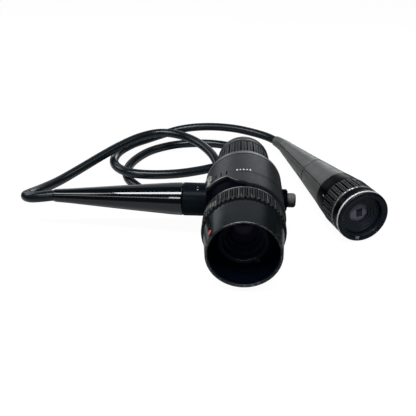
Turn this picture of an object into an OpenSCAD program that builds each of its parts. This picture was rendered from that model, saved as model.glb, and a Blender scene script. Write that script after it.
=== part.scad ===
// Two-viewer attachment for a rigid endoscope eyepiece.
// Frame: origin at the centre of the mouth of the seat ring that takes the
// endoscope eyepiece; +Y along the main optical axis towards the main
// eyepiece; +X to the selector side, -X to the side arm; +Z up.
// Millimetres. Rest pose: lying on a table at z = -shell_r, cable coiled
// behind (+Y), second viewer lying beside the body at +X.

/* [Coupling cup] */
// outer radius of the cup at its front rim
cup_rim_r = 28; // [27.5:0.1:28.5]
// outer radius of the cup where it meets the lock ring
cup_rear_r = 30.7; // [30.2:0.1:31]
// depth of the cup in front of the seat ring mouth
cup_depth = 18; // [15:0.5:20]
// bore radius that takes the 32 mm endoscope eyepiece disc
seat_r = 16.05; // [15.9:0.01:16.2]
// depth of the seat bore
seat_depth = 7; // [6:0.5:7.5]

/* [Lock ring] */
// radius over the grip ribs at the front of the ring
lock_r = 32.6; // [32:0.1:33]
// number of fine grip ribs
lock_ribs = 108; // [96:12:120]

/* [Body] */
// outer radius of the body shell
shell_r = 33.5; // [33.5:0.1:34]
// y of the rear edge of the body shell
shell_rear = 95; // [94.5:0.1:95]
// outer radius of the neck barrel seen where the shell is cut back
neck_r = 31; // [30.9:0.02:31]

/* [Side arm] */
// distance of the side arm axis along the optical axis
arm_y = 65.5; // [65:0.5:66]
// side arm radius
arm_r = 14.1; // [13.8:0.1:14.2]
// distance from the optical axis to the joint between side arm and boot
arm_end = 50.7; // [50:0.1:54]
// distance from the optical axis to the thin end of the boot
boot_end = 162; // [160:0.5:163]

/* [Main eyepiece] */
// radius over the focusing ring ribs
ring_a_r = 26.3; // [26:0.1:26.6]
// number of deep grip slots
ring_a_slots = 28; // [24:2:32]

/* [Second viewer] */
// heading of the viewer axis, face to cable, from +Y towards -X
view_yaw = 16.93; // [16:0.1:18]
// slope of the viewer axis
view_tilt = -2.64; // [-3:0.1:-2]
// radius over the focusing ring ribs
ring_b_r = 22.7; // [22.4:0.1:22.8]
// radius of the bright rim
rim_b_r = 22.8; // [22.4:0.1:22.8]

/* [Cable] */
// cable sheath radius
cable_r = 4.7; // [4.4:0.1:4.7]

/* [Hidden] */
$fn = 64;
fit = 0.05;  // clearance between mating parts
face_centre = [99.4, 61.4, -9.4];  // second viewer
view_dir = [-sin(view_yaw) * cos(view_tilt), cos(view_yaw) * cos(view_tilt), sin(view_tilt)];

// angle and radius of the locating pin about the main axis, from +Z towards +X
pin_turn = 145;
pin_r = 19.2;
pin_head_r = 2.2;
claw_angles = [90, 210, 330];  // top, left, right
claw_y = 3.6;
claw_r = 1.3;
mark_r = 2.2;

arm_bore_r = 8.5;
prism_half_side = 10;
grub_x = -38.3;
grub_turn = 22;
selector_y = 68;
selector_bore_r = 4.4;
screw_y = 74.5;
screw_z = 4.3;
barrel_a_r = 22;
barrel_b_r = 19;
barrel_b_bore_r = 17;
fibre_r = 2;

// ---------- placing: each puts local +Z on an axis ----------
// main axis, towards +Y
module on_main(y = 0) translate([0, y, 0]) rotate([-90, 0, 0]) children();
// side arm axis, towards -X
module on_arm(x = 0) translate([-x, arm_y, 0]) rotate([0, -90, 0]) children();
// selector axis or a parallel to it, towards +X
module on_selector(x, y = selector_y, z = 0) translate([x, y, z]) rotate([0, 90, 0]) children();
// second viewer axis, face to cable
module on_viewer(s = 0)
  translate(viewer_point(s)) rotate([-(90 - view_tilt), 0, view_yaw]) children();
// outwards from the main axis, at an angle from +X towards +Z
module on_radius(angle) rotate([0, 90 - angle, 0]) children();

function viewer_point(s) = face_centre + s * view_dir;
function unit(v) = v / norm(v);

// ---------- shapes ----------
// solid of revolution; profile points are [radius, distance along the axis]
module lathe(profile) rotate_extrude($fn = 96) polygon(profile);
module tube(outer_r, inner_r, h) difference() {
  cylinder(r = outer_r, h = h, $fn = 96);
  translate([0, 0, -1]) cylinder(r = inner_r, h = h + 2, $fn = 96);
}
module square_bar(side, h) translate([-side / 2, -side / 2, 0]) cube([side, side, h]);

// grip outline: n repeats of steps, each [fraction of the pitch, depth below r]
function grip(n, r, steps) = [for (i = [0:n - 1]) for (step = steps)
  let (a = 360 / n * (i + step[0]), q = r - step[1]) [q * cos(a), q * sin(a)]];
// small trapezoid ribs
function ribs(n, r, depth) = grip(n, r, [[0, depth], [0.18, 0], [0.52, 0], [0.70, depth]]);
// deep slots, with three fine ribs between neighbouring slots
function slots(n, r, deep, fine) = grip(n, r, [[0, 0], [0.03, deep], [0.17, deep], [0.20, 0],
  [0.33, 0], [0.40, fine], [0.53, 0], [0.66, 0], [0.73, fine], [0.86, 0]]);

// ---------- main unit, front ----------
module on_claw(angle, r = 0) on_radius(angle) translate([0, claw_y, r]) children();
module claw_bores(r, depth)
  for (a = claw_angles) on_claw(a, r) cylinder(r = claw_r + fit, h = depth, $fn = 32);
module on_pin(y) rotate([0, pin_turn, 0]) on_main(y) translate([0, -pin_r, 0]) children();
// round blank let into the cup wall, at radius r from the main axis
module mark_blank(r, gap = 0) on_radius(150) translate([0, -11.2, r])
  cylinder(r = mark_r + gap, h = 1, center = true, $fn = 48);

module coupling_cup() color([0.07, 0.07, 0.08]) difference() {
  on_main() lathe([[cup_rim_r - 0.5, -cup_depth], [cup_rim_r, -cup_depth + 0.6],
    [cup_rear_r, 9.0], [cup_rear_r - 0.7, 9.9], [29, 9.9], [29, 28], [27.05, 28], [27.05, 16],
    [24, 16], [24, 28], [18.05, 28], [18.05, 2], [26.9, 2],
    [25.6, -cup_depth + 1.4], [26.4, -cup_depth]]);
  mark_blank(28.38, 0.12);
  // blind guide bores for the claws
  claw_bores(17, 9.2);
  // hole for the locating pin
  on_pin(1) cylinder(r = 0.82, h = 4.2, $fn = 32);
}
module index_mark() color([0.75, 0.08, 0.06]) mark_blank(28.4);
module seat_ring() color([0.10, 0.10, 0.11]) difference() {
  on_main() lathe([[seat_r + 0.5, 0], [19, 0], [19.3, 0.4], [19.3, 1.95], [18, 1.95],
    [18, 9.9], [13.5, 9.9], [13.5, seat_depth], [seat_r, seat_depth], [seat_r, 0.5]]);
  claw_bores(12, 8);
  // notch in the flange for the head of the locating pin
  on_pin(-1) cylinder(r = pin_head_r + fit, h = 2.96, $fn = 48);
}
module locating_pin() color([0.35, 0.34, 0.33]) on_pin(0) difference() {
  union() {
    translate([0, 0, 0.1]) cylinder(r = pin_head_r, h = 1.86, $fn = 48);
    translate([0, 0, 0.3]) cylinder(r = 0.8, h = 4.7, $fn = 32);
  }
  // recess in the head
  translate([0, 0, -0.5]) cylinder(r = 1.1, h = 1.1, $fn = 32);
}
module claw(angle) color([0.62, 0.60, 0.56]) on_claw(angle) rotate_extrude($fn = 48)
  polygon([[0, 16.7], [0.9, 16.7], [claw_r, 17.1], [claw_r, 23.6], [1.0, 24], [0, 24]]);
module claw_top() claw(claw_angles[0]);
module claw_left() claw(claw_angles[1]);
module claw_right() claw(claw_angles[2]);
module objective_cell() color([0.06, 0.06, 0.06]) on_main()
  lathe([[13.5, 10], [17.98, 10], [17.98, 27.5], [10.5, 27.5], [10.5, 20], [12.05, 20],
    [12.05, 14], [13.5, 14]]);
module objective_lens() {
  crown_y = 14.4;
  curve_r = 30;
  color([0.45, 0.35, 0.55]) intersection() {
    on_main(14) cylinder(r = 12, h = 5.95, $fn = 96);
    translate([0, crown_y + curve_r, 0]) sphere(r = curve_r, $fn = 96);
  }
}
module objective_retainer() color([0.08, 0.08, 0.08]) difference() {
  on_main(12) tube(13.45, 11.2, 1.95);
  // two opposite notches in the front face
  for (a = [0, 180])
    rotate([0, a, 0]) translate([12.3, 12.2, 0]) cube([1.2, 1.6, 1.6], center = true);
}
module lock_ring() {
  front_y = 10;
  coarse_ribs = 54;
  coarse_length = 2.2;
  fine_length = 13.3;
  fine_y = front_y + coarse_length;
  color([0.06, 0.06, 0.06]) difference() {
    union() {
      on_main(front_y) linear_extrude(coarse_length) polygon(ribs(coarse_ribs, lock_r, 1.1));
      on_main(fine_y) linear_extrude(fine_length) polygon(ribs(lock_ribs, lock_r - 0.1, 0.55));
      // plain rear band
      on_main(fine_y + fine_length) lathe([[0, 0], [lock_r - 0.6, 0], [lock_r - 0.5, 0.4],
        [lock_r - 0.5, 2.2], [lock_r - 1.4, 3.4], [0, 3.4]]);
    }
    on_main() cylinder(r = 29.05, h = 40, $fn = 96);
  }
}

// ---------- main unit, body ----------
// front edge of the shell where it is cut back on the -X half; columns [z, y]
cut_edge = [[36, 31.5], [33.4, 35], [30.4, 49], [0, 64], [-30.4, 49], [-33.4, 35], [-36, 31.5]];
// everything in front of that edge, its limit moved back by extra
module cutback(extra = 0)
  translate([3, 0, 0]) rotate([0, -90, 0]) linear_extrude(60)
    polygon(concat([[36, 0]], [for (p = cut_edge) [p[0], p[1] + extra]], [[-36, 0]]));
module selector_bore() on_selector(20) cylinder(r = selector_bore_r, h = 20, $fn = 48);

module neck_barrel() color([0.05, 0.05, 0.06]) difference() {
  on_main() lathe([[24.05, 16.1], [27, 16.1], [27, 29], [neck_r - 0.4, 29], [neck_r, 29.4],
    [neck_r, 70], [28, 70], [28, 31.5], [24.05, 31.5]]);
  on_arm(20) cylinder(r = 11.05, h = 20);
  selector_bore();
}
module body_shell() {
  groove_start = 115;
  color([0.13, 0.13, 0.14]) difference() {
    on_main() lathe([[31.05, 31.3], [shell_r - 0.5, 31.3], [shell_r, 31.8],
      [shell_r, shell_rear - 1], [shell_r - 0.9, shell_rear], [31.05, shell_rear]]);
    cutback();
    on_arm(20) cylinder(r = arm_r + 0.1, h = 20, $fn = 96);
    selector_bore();
    // three short index grooves near the cut-back edge, each set further back
    for (a = [groove_start, 124, 133])
      on_radius(a) translate([0, 55 + (a - groove_start) * 0.22, shell_r])
        cube([0.7, 7.5, 0.9], center = true);
  }
}
module rear_bezel() color([0.07, 0.07, 0.08]) on_main()
  lathe([[barrel_a_r + fit, 88], [31, 88], [31, shell_rear - 0.3], [29.6, 96.6], [28, 97.6],
    [barrel_a_r + fit, 97.6]]);
module side_port_flange() color([0.55, 0.50, 0.42]) difference() {
  intersection() {
    on_arm() tube(20, arm_r + 1.2, 50);
    on_main(30) cylinder(r = shell_r + 1, h = 60, $fn = 96);
  }
  on_main(20) cylinder(r = shell_r + fit, h = 80, $fn = 96);
  cutback(1.5);
}
// three places round the side arm, at radius r from its axis
module at_grub_screws(r)
  for (a = [0, 120, 240])
    translate([grub_x, arm_y, 0]) rotate([grub_turn + a, 0, 0]) translate([0, 0, r]) children();
module side_arm_collar() {
  root_x = 24;
  length = arm_end - root_x;
  color([0.05, 0.05, 0.06]) difference() {
    union() {
      difference() {
        on_arm(root_x)
          lathe([[0, 0], [arm_r, 0], [arm_r, length - 0.4], [arm_r - 0.4, length], [0, length]]);
        on_main(20) cylinder(r = neck_r + fit, h = 80, $fn = 96);
      }
      // spigot through the neck barrel
      on_arm(25) cylinder(r = 11, h = 12);
    }
    on_arm(20) cylinder(r = arm_bore_r, h = 24.5);
    on_arm(44.4) cylinder(r = 11.5, h = 20);
    at_grub_screws(9.6) cylinder(r = 1.62, h = 8, $fn = 32);
  }
}
// three socket grub screws that hold the relay lens cell
module grub_screws() color([0.55, 0.55, 0.56]) at_grub_screws(11.6) difference() {
  cylinder(r = 1.6, h = 2.2, $fn = 32);
  translate([0, 0, 1.2]) cylinder(r = 0.85, h = 2, $fn = 6);
}
module boot_a() {
  length = boot_end - arm_end;
  color([0.03, 0.03, 0.035]) difference() {
    union() {
      on_arm(44.6) cylinder(r = 11.45, h = 12);
      on_arm(arm_end + 0.15) lathe([[0, 0], [arm_r - 0.6, 0], [arm_r - 0.2, 0.5],
        [5.9, length - 1.4], [5.4, length - 0.15], [0, length - 0.15]]);
    }
    // bores for ferrule, fibre bundle and sheath
    on_arm(40) cylinder(r = 7.02, h = 44);
    on_arm(40) cylinder(r = fibre_r + 0.1, h = 130, $fn = 32);
    on_arm(139.8) cylinder(r = cable_r + fit, h = 40);
    // eased mouth, so the sheath can start to bend
    on_arm(150) cylinder(r1 = cable_r + fit, r2 = cable_r + 0.4, h = 12.1);
  }
}
module relay_cell() color([0.10, 0.10, 0.10]) on_arm(27)
  lathe([[5.2, 0], [arm_bore_r - fit, 0], [arm_bore_r - fit, 17], [6.3, 17], [6.3, 3], [5.2, 3]]);
module relay_lens() {
  crown_x = -35;
  curve_r = 14;
  color([0.55, 0.70, 0.72]) intersection() {
    on_arm(30.05) cylinder(r = 6.25, h = 5);
    translate([crown_x + curve_r, arm_y, 0]) sphere(r = curve_r, $fn = 96);
  }
}
module ferrule_a() color([0.60, 0.60, 0.58]) on_arm(52)
  lathe([[fibre_r + fit, 0], [6, 0], [6.98, 1], [6.98, 28], [6, 31.5], [fibre_r + fit, 31.5]]);
module fibre_bundle_a() color([0.75, 0.72, 0.55]) on_arm(46)
  cylinder(r = fibre_r, h = 93, $fn = 32);
module prism_cage() {
  block = 24;
  pocket = prism_half_side + fit;  // half its side
  color([0.16, 0.16, 0.17]) difference() {
    union() {
      translate([-block / 2, 53.5, -block / 2]) cube([block, block, block]);
      on_main(51) cylinder(r = 27.95, h = 3, $fn = 96);
    }
    // prism pocket, open at the top
    translate([-pocket, arm_y - pocket, -pocket]) cube([2 * pocket, 2 * pocket, 30]);
    on_main(40) cylinder(r = arm_bore_r, h = 50);
    on_arm() cylinder(r = arm_bore_r, h = 20);
  }
}
// half of a cube cut corner to corner, on the -X +Y side before turning
module prism_half(turn) {
  half = prism_half_side;
  tip = half - 0.03;
  translate([0, arm_y, 0]) rotate([0, 0, turn]) linear_extrude(2 * half, center = true)
    polygon([[-half, -tip], [-half, half], [tip, half]]);
}
module prism_front() color([0.70, 0.80, 0.82]) prism_half(180);
module prism_rear() color([0.66, 0.78, 0.82]) prism_half(0);

// ---------- selector ----------
module on_screw(x) on_selector(x, screw_y, screw_z) children();
module selector_plate() color([0.07, 0.07, 0.08]) difference() {
  on_selector(24) lathe([[0, 0], [9.3, 0], [9.3, 11.8], [8.8, 12.3], [0, 12.3]]);
  on_main(40) cylinder(r = shell_r + fit, h = 60, $fn = 96);
  selector_bore();
  on_screw(30) cylinder(r = 0.95, h = 10, $fn = 24);
}
module plate_screw() color([0.15, 0.15, 0.16]) difference() {
  union() {
    on_screw(34.4) cylinder(r = 0.9, h = 2.2, $fn = 24);
    on_screw(36.35) lathe([[0, 0], [1.5, 0], [1.5, 0.7], [1.1, 1.2], [0, 1.2]]);
  }
  // driver slot
  translate([37.5, screw_y, screw_z]) cube([0.8, 0.5, 5], center = true);
}
module selector_knob() color([0.06, 0.06, 0.07]) difference() {
  union() {
    on_selector(36.5)
      lathe([[0, 0], [6, 0], [6.15, 0.4], [6.15, 5.6], [5.7, 6.8], [4.6, 7.4], [0, 7.4]]);
    on_selector(33.6) cylinder(r = selector_bore_r - fit, h = 3, $fn = 48);
  }
  on_selector(30) cylinder(r = 2.5, h = 9, $fn = 48);
  // finger slot across the end face
  translate([44, selector_y, 0]) cube([1.4, 1.2, 9], center = true);
}
// shaft with an off-centre disc at its inner end
module selector_shaft() color([0.60, 0.60, 0.60]) {
  inner_x = 14.5;
  on_selector(inner_x) cylinder(r = 2.48, h = 24.4, $fn = 48);
  on_selector(inner_x, selector_y + 2) cylinder(r = 6, h = 2.5, $fn = 48);
}

// ---------- main eyepiece ----------
module eyepiece_barrel_a() color([0.09, 0.09, 0.10]) on_main()
  lathe([[20, 80], [barrel_a_r, 80], [barrel_a_r, 128], [20, 128]]);
module field_stop_a() color([0.05, 0.05, 0.05]) on_main()
  lathe([[8, 84], [19.98, 84], [19.98, 86.2], [9, 86.2]]);
module focus_ring_a() color([0.10, 0.10, 0.10]) difference() {
  union() {
    on_main(98)
      lathe([[0, 0], [ring_a_r - 1.3, 0], [ring_a_r - 0.3, 1], [ring_a_r - 0.3, 2.5], [0, 2.5]]);
    on_main(100.5) linear_extrude(37) polygon(slots(ring_a_slots, ring_a_r, 1.3, 0.45));
    on_main(137.5) lathe([[0, 0], [ring_a_r - 1.5, 0], [ring_a_r - 1.1, 0.5],
      [ring_a_r - 1.1, 4.7], [ring_a_r - 1.9, 5.5], [0, 5.5]]);
  }
  on_main(90) cylinder(r = barrel_a_r + fit, h = 38.4, $fn = 96);
  on_main(120) cylinder(r = 18, h = 30, $fn = 96);
}
module eyecup_a() color([0.05, 0.05, 0.05]) on_main()
  lathe([[14.5, 129], [17.96, 129], [17.96, 143.05], [24.3, 143.05], [24.8, 143.6],
    [24.4, 147.1], [24.7, 147.4], [24.7, 147.9], [24.3, 148.2], [24.1, 151.8], [23.4, 153.4],
    [22.4, 154], [18.6, 154], [14.5, 138]]);
module lens_cell_a() color([0.08, 0.08, 0.08]) on_main()
  lathe([[13.5, 104], [19.95, 104], [19.95, 121], [16.05, 121], [16.05, 110], [13.5, 110]]);
module eye_lens_a() {
  crown_y = 118;
  curve_r = 40;
  color([0.50, 0.62, 0.66]) intersection() {
    on_main(110.05) cylinder(r = 16, h = 8, $fn = 96);
    translate([0, crown_y - curve_r, 0]) sphere(r = curve_r, $fn = 96);
  }
}

// ---------- second viewer ----------
module on_tab() on_viewer(-4) rotate([0, 0, 10.4]) children();
module on_dot(r) on_viewer(32.4) rotate([0, 0, -145]) translate([r, 0, 0]) children();

module face_ring_b() color([0.06, 0.06, 0.07]) difference() {
  on_viewer() lathe([[17.2, -1.6], [17.6, -2.8], [20.6, -3.6], [21.9, -3.3], [22.5, -2.6],
    [22.5, -1.05], [21.9, -1.05], [21.9, 2.4], [18.5, 2.4], [18.5, 5], [17.2, 5]]);
  on_tab() translate([-1.7, 17.85, -1]) cube([3.4, 2.7, 2.2]);
}
// small bright tab let into the face ring
module face_tab_b() color([0.80, 0.80, 0.78])
  on_tab() translate([-1.65, 17.9, 0.45]) cube([3.3, 2.6, 0.7]);
module bright_rim_b() color([0.82, 0.82, 0.83]) on_viewer()
  lathe([[21.93, -1], [rim_b_r - 0.5, -1], [rim_b_r, -0.5], [rim_b_r, 2], [rim_b_r - 0.4, 2.4],
    [21.93, 2.4]]);
module focus_ring_b() color([0.09, 0.09, 0.10]) on_viewer() difference() {
  union() {
    lathe([[0, 2.5], [ring_b_r - 0.9, 2.5], [ring_b_r - 0.9, 9.3], [ring_b_r, 9.8],
      [ring_b_r, 11.6], [0, 11.6]]);
    translate([0, 0, 11.5]) linear_extrude(16.5) polygon(slots(28, ring_b_r - 0.05, 1.2, 0.4));
    lathe([[0, 27.9], [ring_b_r - 0.5, 27.9], [ring_b_r - 0.7, 29.5], [0, 29.5]]);
  }
  translate([0, 0, 1]) cylinder(r = 18.53, h = 6, $fn = 96);
  translate([0, 0, 5.1]) cylinder(r = barrel_b_r + fit, h = 40, $fn = 96);
}
module eyepiece_barrel_b() color([0.09, 0.09, 0.10]) on_viewer()
  lathe([[barrel_b_bore_r, 6], [barrel_b_r, 6], [barrel_b_r, 45], [16, 45], [16, 55], [14, 55],
    [14, 44], [barrel_b_bore_r, 44]]);
module index_cone_b() color([0.05, 0.05, 0.055]) difference() {
  on_viewer() lathe([[barrel_b_r + fit, 29.65], [22, 29.65], [22, 31.2], [20.6, 45],
    [barrel_b_r + fit, 45]]);
  on_dot(21.7) cube([1.2, 1.2, 2.8], center = true);
}
module index_dot_b() color([0.78, 0.70, 0.35]) on_dot(21.5) cube([0.7, 1.1, 2.7], center = true);
module lens_cell_b() {
  outer_r = barrel_b_bore_r - fit;
  color([0.08, 0.08, 0.08]) on_viewer() lathe([[8.55, 4.7], [10.6, 4.7], [10.8, 3.8],
    [12.9, 3.8], [13.1, 2.8], [15.1, 2.8], [15.3, 1.8], [outer_r, 1.8], [outer_r, 24],
    [13.2, 24], [13.2, 12], [7.8, 10.5], [7.8, 8.4], [8.55, 8.4]]);
}
module eye_lens_b() {
  crown = 4.5;
  curve_r = 18;
  color([0.45, 0.50, 0.60]) intersection() {
    on_viewer(4.4) cylinder(r = 8.5, h = 3.95, $fn = 96);
    translate(viewer_point(crown + curve_r)) sphere(r = curve_r, $fn = 96);
  }
}
module field_stop_b() color([0.30, 0.31, 0.33]) difference() {
  on_viewer(38) cylinder(r = barrel_b_bore_r - fit, h = 2, $fn = 96);
  on_viewer(30) square_bar(3.6, 20);
}
// square at the face end, round towards the cable
module fibre_bundle_b() color([0.16, 0.17, 0.20]) {
  on_viewer(37.5) square_bar(3.5, 22);
  on_viewer(59) cylinder(r = fibre_r, h = 89.6, $fn = 32);
}
module handle_b() color([0.36, 0.37, 0.37]) difference() {
  on_viewer() lathe([[0, 45.15], [20, 45.15], [20.4, 45.6], [15.3, 93.4], [14.9, 93.9], [0, 93.9]]);
  on_viewer(40) cylinder(r = 16.05, h = 16, $fn = 96);
  on_viewer(50) cylinder(r = 9, h = 60, $fn = 64);
}
module boot_b() color([0.34, 0.35, 0.35]) difference() {
  on_viewer() lathe([[0, 94.05], [14.8, 94.05], [15.2, 94.5], [7.2, 178.6], [6.6, 180], [0, 180]]);
  // bores for ferrule, fibre bundle and sheath
  on_viewer(90) cylinder(r = 9, h = 22, $fn = 64);
  on_viewer(100) cylinder(r = fibre_r + 0.1, h = 60, $fn = 32);
  on_viewer(148.5) cylinder(r = cable_r + fit, h = 40, $fn = 64);
  // eased mouth, so the sheath can start to bend
  on_viewer(162) cylinder(r1 = cable_r + fit, r2 = cable_r + 1.1, h = 18.2, $fn = 64);
}
module ferrule_b() color([0.60, 0.60, 0.58]) on_viewer()
  lathe([[fibre_r + fit, 62], [8, 62], [8.96, 63], [8.96, 110], [8, 111.5],
    [fibre_r + fit, 111.5]]);

// ---------- cable ----------
// Centreline as laid, [x, y, z]: out of the side arm boot, round at -X, back past
// the main eyepiece, then two lower turns on the table behind the side arm.
route = [[-140, arm_y, 0], [-152, arm_y, 0], [-163, arm_y, 0], [-174, 64.8, -1.2],
  [-184.5, 67.5, -3.5], [-192, 75.5, -6.5], [-194, 88, -11], [-190.5, 111, -17],
  [-182, 135, -20], [-168, 159, -18], [-152, 182, -14], [-135, 204, -10], [-116, 224, -7],
  [-95, 236, -6], [-72, 233, -7], [-49, 213, -8], [-31, 182, -10], [-24.5, 158, -17],
  [-29, 134, -25], [-43, 114, -28.7], [-64, 107, -28.8], [-87, 118, -28.8],
  [-105, 142, -28.8], [-118, 160, -28.8], [-124, 181, -28.8], [-121, 207, -28.8],
  [-108, 235, -28.8], [-86, 254, -28.8], [-63, 262, -28.8], [-36, 263, -28.8],
  [-12, 255, -28.8], [5, 238, -28.5], [7, 214, -27], [-8, 193, -24], [-28, 180, -22],
  [-46, 170, -22], [-69, 159, -21], [-94, 152, -19.2], [-115, 153, -18], [-131, 168, -19],
  [-140, 193, -21.8], [-139, 219, -23], [-128, 245, -24], [-112, 263, -24], [-97, 273, -22],
  [-79, 282, -19], [-58, 284, -16], [-34, 280, -13.5], [-11, 273, -12.5]];
// bending points at the ends of the straight middle piece
mid_start = [8, 266, -13.5];
mid_end = [26, 258, -15.5];
bend = [38.6, 247.4, -17.2];
end_gap = 5.05;  // from a bending point to the end of the next piece
loop_path = concat(route, [mid_start - end_gap * unit(mid_start - route[len(route) - 1])]);
tail_path = concat([mid_end + end_gap * unit(bend - mid_end), bend],
  [for (s = [180, 169, 158, 149]) viewer_point(s)]);

// Catmull-Rom curve from b to c
function curve(a, b, c, d, t) = 0.5 * (2 * b + (c - a) * t
  + (2 * a - 5 * b + 4 * c - d) * t * t + (3 * b - a - 3 * c + d) * t * t * t);
// path with one point added straight on at each end
function extended(path) = let (last = len(path) - 1)
  concat([2 * path[0] - path[1]], path, [2 * path[last] - path[last - 1]]);
// smooth path with n steps between neighbouring points
function spline(path, n) = let (q = extended(path)) concat(
  [for (i = [0:len(path) - 2]) for (k = [0:n - 1])
    curve(q[i], q[i + 1], q[i + 2], q[i + 3], k / n)],
  [path[len(path) - 1]]);
function tangent(path, i) = unit(path[min(i + 1, len(path) - 1)] - path[max(i - 1, 0)]);
// round bar along a path, with m sides
module sweep(path, r, m) {
  n = len(path);
  points = [for (i = [0:n - 1])
    let (t = tangent(path, i), level = unit(cross(t, [0, 0, 1])), up = cross(level, t))
    for (k = [0:m - 1]) path[i] + r * cos(360 * k / m) * level + r * sin(360 * k / m) * up];
  sides = [for (half = [0, 1]) for (i = [0:n - 2]) for (k = [0:m - 1])
    let (a = i * m, b = a + m, next = (k + 1) % m)
    half == 0 ? [a + k, b + k, b + next] : [a + k, b + next, a + next]];
  ends = [[for (k = [0:m - 1]) k], [for (k = [0:m - 1]) n * m - 1 - k]];
  polyhedron(points = points, faces = concat(sides, ends));
}
module cable_loop() color([0.05, 0.05, 0.055]) sweep(spline(loop_path, 5), cable_r, 12);
// straight piece with round ends
module cable_mid() color([0.05, 0.05, 0.055]) {
  d = mid_end - mid_start;
  translate(mid_start) sphere(r = cable_r, $fn = 48);
  translate(mid_end) sphere(r = cable_r, $fn = 48);
  translate(mid_start) rotate([0, acos(d[2] / norm(d)), atan2(d[1], d[0])])
    cylinder(r = cable_r, h = norm(d), $fn = 48);
}
module cable_tail() color([0.05, 0.05, 0.055]) sweep(spline(tail_path, 6), cable_r - 0.02, 16);

coupling_cup();
index_mark();
seat_ring();
locating_pin();
objective_cell();
objective_lens();
objective_retainer();
neck_barrel();
body_shell();
rear_bezel();
side_port_flange();
side_arm_collar();
grub_screws();
prism_cage();
prism_front();
prism_rear();
relay_cell();
relay_lens();
ferrule_a();
fibre_bundle_a();
boot_a();
cable_loop();
eyepiece_barrel_a();
field_stop_a();
selector_plate();
plate_screw();
lock_ring();
claw_top();
claw_left();
claw_right();
selector_knob();
selector_shaft();
focus_ring_a();
eyecup_a();
lens_cell_a();
eye_lens_a();
cable_mid();
cable_tail();
boot_b();
handle_b();
index_cone_b();
index_dot_b();
eyepiece_barrel_b();
ferrule_b();
fibre_bundle_b();
field_stop_b();
focus_ring_b();
bright_rim_b();
face_ring_b();
face_tab_b();
lens_cell_b();
eye_lens_b();
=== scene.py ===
"""A main viewer joined by a looped cable to a second, smaller viewer.

The main viewer lies along +Y with its coupling cup at the front (-Y) and its eyepiece at the back.
Its side arm points left (-X) and carries the cable, its selector knob points right (+X). The second
viewer lies to the right, turned a little about Z, and the cable enters it from behind. Up is +Z.
Lengths are in mm until a mesh is made, stage and lights are in metres, angles are in radians.
"""
import math

import bmesh
import bpy
import numpy as np
from mathutils import Matrix, Vector


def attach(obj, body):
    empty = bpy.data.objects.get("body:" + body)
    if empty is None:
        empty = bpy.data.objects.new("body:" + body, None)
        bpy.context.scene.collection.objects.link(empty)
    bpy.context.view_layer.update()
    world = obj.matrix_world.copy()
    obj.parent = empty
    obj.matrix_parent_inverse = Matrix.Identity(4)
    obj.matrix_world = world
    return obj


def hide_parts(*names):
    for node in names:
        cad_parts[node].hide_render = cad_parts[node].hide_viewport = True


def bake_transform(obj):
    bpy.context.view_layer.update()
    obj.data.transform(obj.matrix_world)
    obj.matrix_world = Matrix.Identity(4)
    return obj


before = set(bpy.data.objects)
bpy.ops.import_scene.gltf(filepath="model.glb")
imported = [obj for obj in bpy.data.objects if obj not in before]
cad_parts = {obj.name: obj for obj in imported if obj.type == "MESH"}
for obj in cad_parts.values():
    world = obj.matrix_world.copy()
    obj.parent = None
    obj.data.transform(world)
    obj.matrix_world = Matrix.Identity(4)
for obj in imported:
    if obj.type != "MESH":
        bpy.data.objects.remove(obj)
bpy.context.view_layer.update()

TAU = 2 * math.pi
MM = 0.001
scene = bpy.context.scene

# Driving sizes and places
SHELL_R = 33.5
SHELL_BORE = 31.06
SHELL_FRONT = 31.4
SHELL_BACK = 95.0
ARM_Y = 65.5
KNOB_Y = 68.0
CABLE_R = 4.7
FLOOR_Z = -(SHELL_R + 0.05) * MM

# ------------------------------------------------------------------ shader graphs


class Graph:
    """A node tree with shorthands. Any value handed in may be a plain value or a socket."""

    def __init__(self, tree):
        self.tree = tree

    def plug(self, socket, value):
        if isinstance(value, bpy.types.NodeSocket):
            self.tree.links.new(value, socket)
        else:
            socket.default_value = (*value, 1.0) if socket.type == "RGBA" else value

    def fill(self, node, inputs):
        for key, value in inputs.items():
            self.plug(node.inputs[key], value)

    def node(self, kind, inputs={}, **settings):
        made = self.tree.nodes.new("ShaderNode" + kind)
        for key, value in settings.items():
            setattr(made, key, value)
        self.fill(made, inputs)
        return made

    def texture_coords(self, output):
        self.coords = self.node("TexCoord").outputs[output]

    def noise(self, scale, detail, rough=0.55):
        inputs = {"Vector": self.coords, "Scale": scale, "Detail": detail, "Roughness": rough}
        return self.node("TexNoise", inputs).outputs["Fac"]

    def remap(self, value, source, target=(0.0, 1.0), **settings):
        """Carry the range source over to the range target."""
        inputs = dict(enumerate((value, *source, *target)))
        return self.node("MapRange", inputs, **settings).outputs[0]

    def math(self, operation, *values, **settings):
        inputs = dict(enumerate(values))
        return self.node("Math", inputs, operation=operation, **settings).outputs[0]

    def multiply(self, a, b):
        return self.math("MULTIPLY", a, b, use_clamp=True)

    def vector_math(self, operation, a, b):
        return self.node("VectorMath", {0: a, 1: b}, operation=operation).outputs

    def mix(self, factor, a, b, kind="RGBA"):
        """Blend from a to b, as colours, or as numbers with kind="FLOAT"."""
        mixer = self.node("Mix", {"Factor": factor}, data_type=kind)
        wanted = "VALUE" if kind == "FLOAT" else kind
        ends = [s for s in mixer.inputs if s.type == wanted and s.name in ("A", "B")]
        for socket, value in zip(ends, (a, b)):
            self.plug(socket, value)
        return next(s for s in mixer.outputs if s.type == wanted)

    def mix_shader(self, factor, a, b):
        return self.node("MixShader", {0: factor, 1: a, 2: b}).outputs[0]

    def camera_ray(self):
        return self.node("LightPath").outputs["Is Camera Ray"]

    def finish(self, shader):
        """Link a shader to the tree's own output node."""
        output = next(n for n in self.tree.nodes if n.type.startswith("OUTPUT"))
        self.plug(output.inputs[0], shader)


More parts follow.
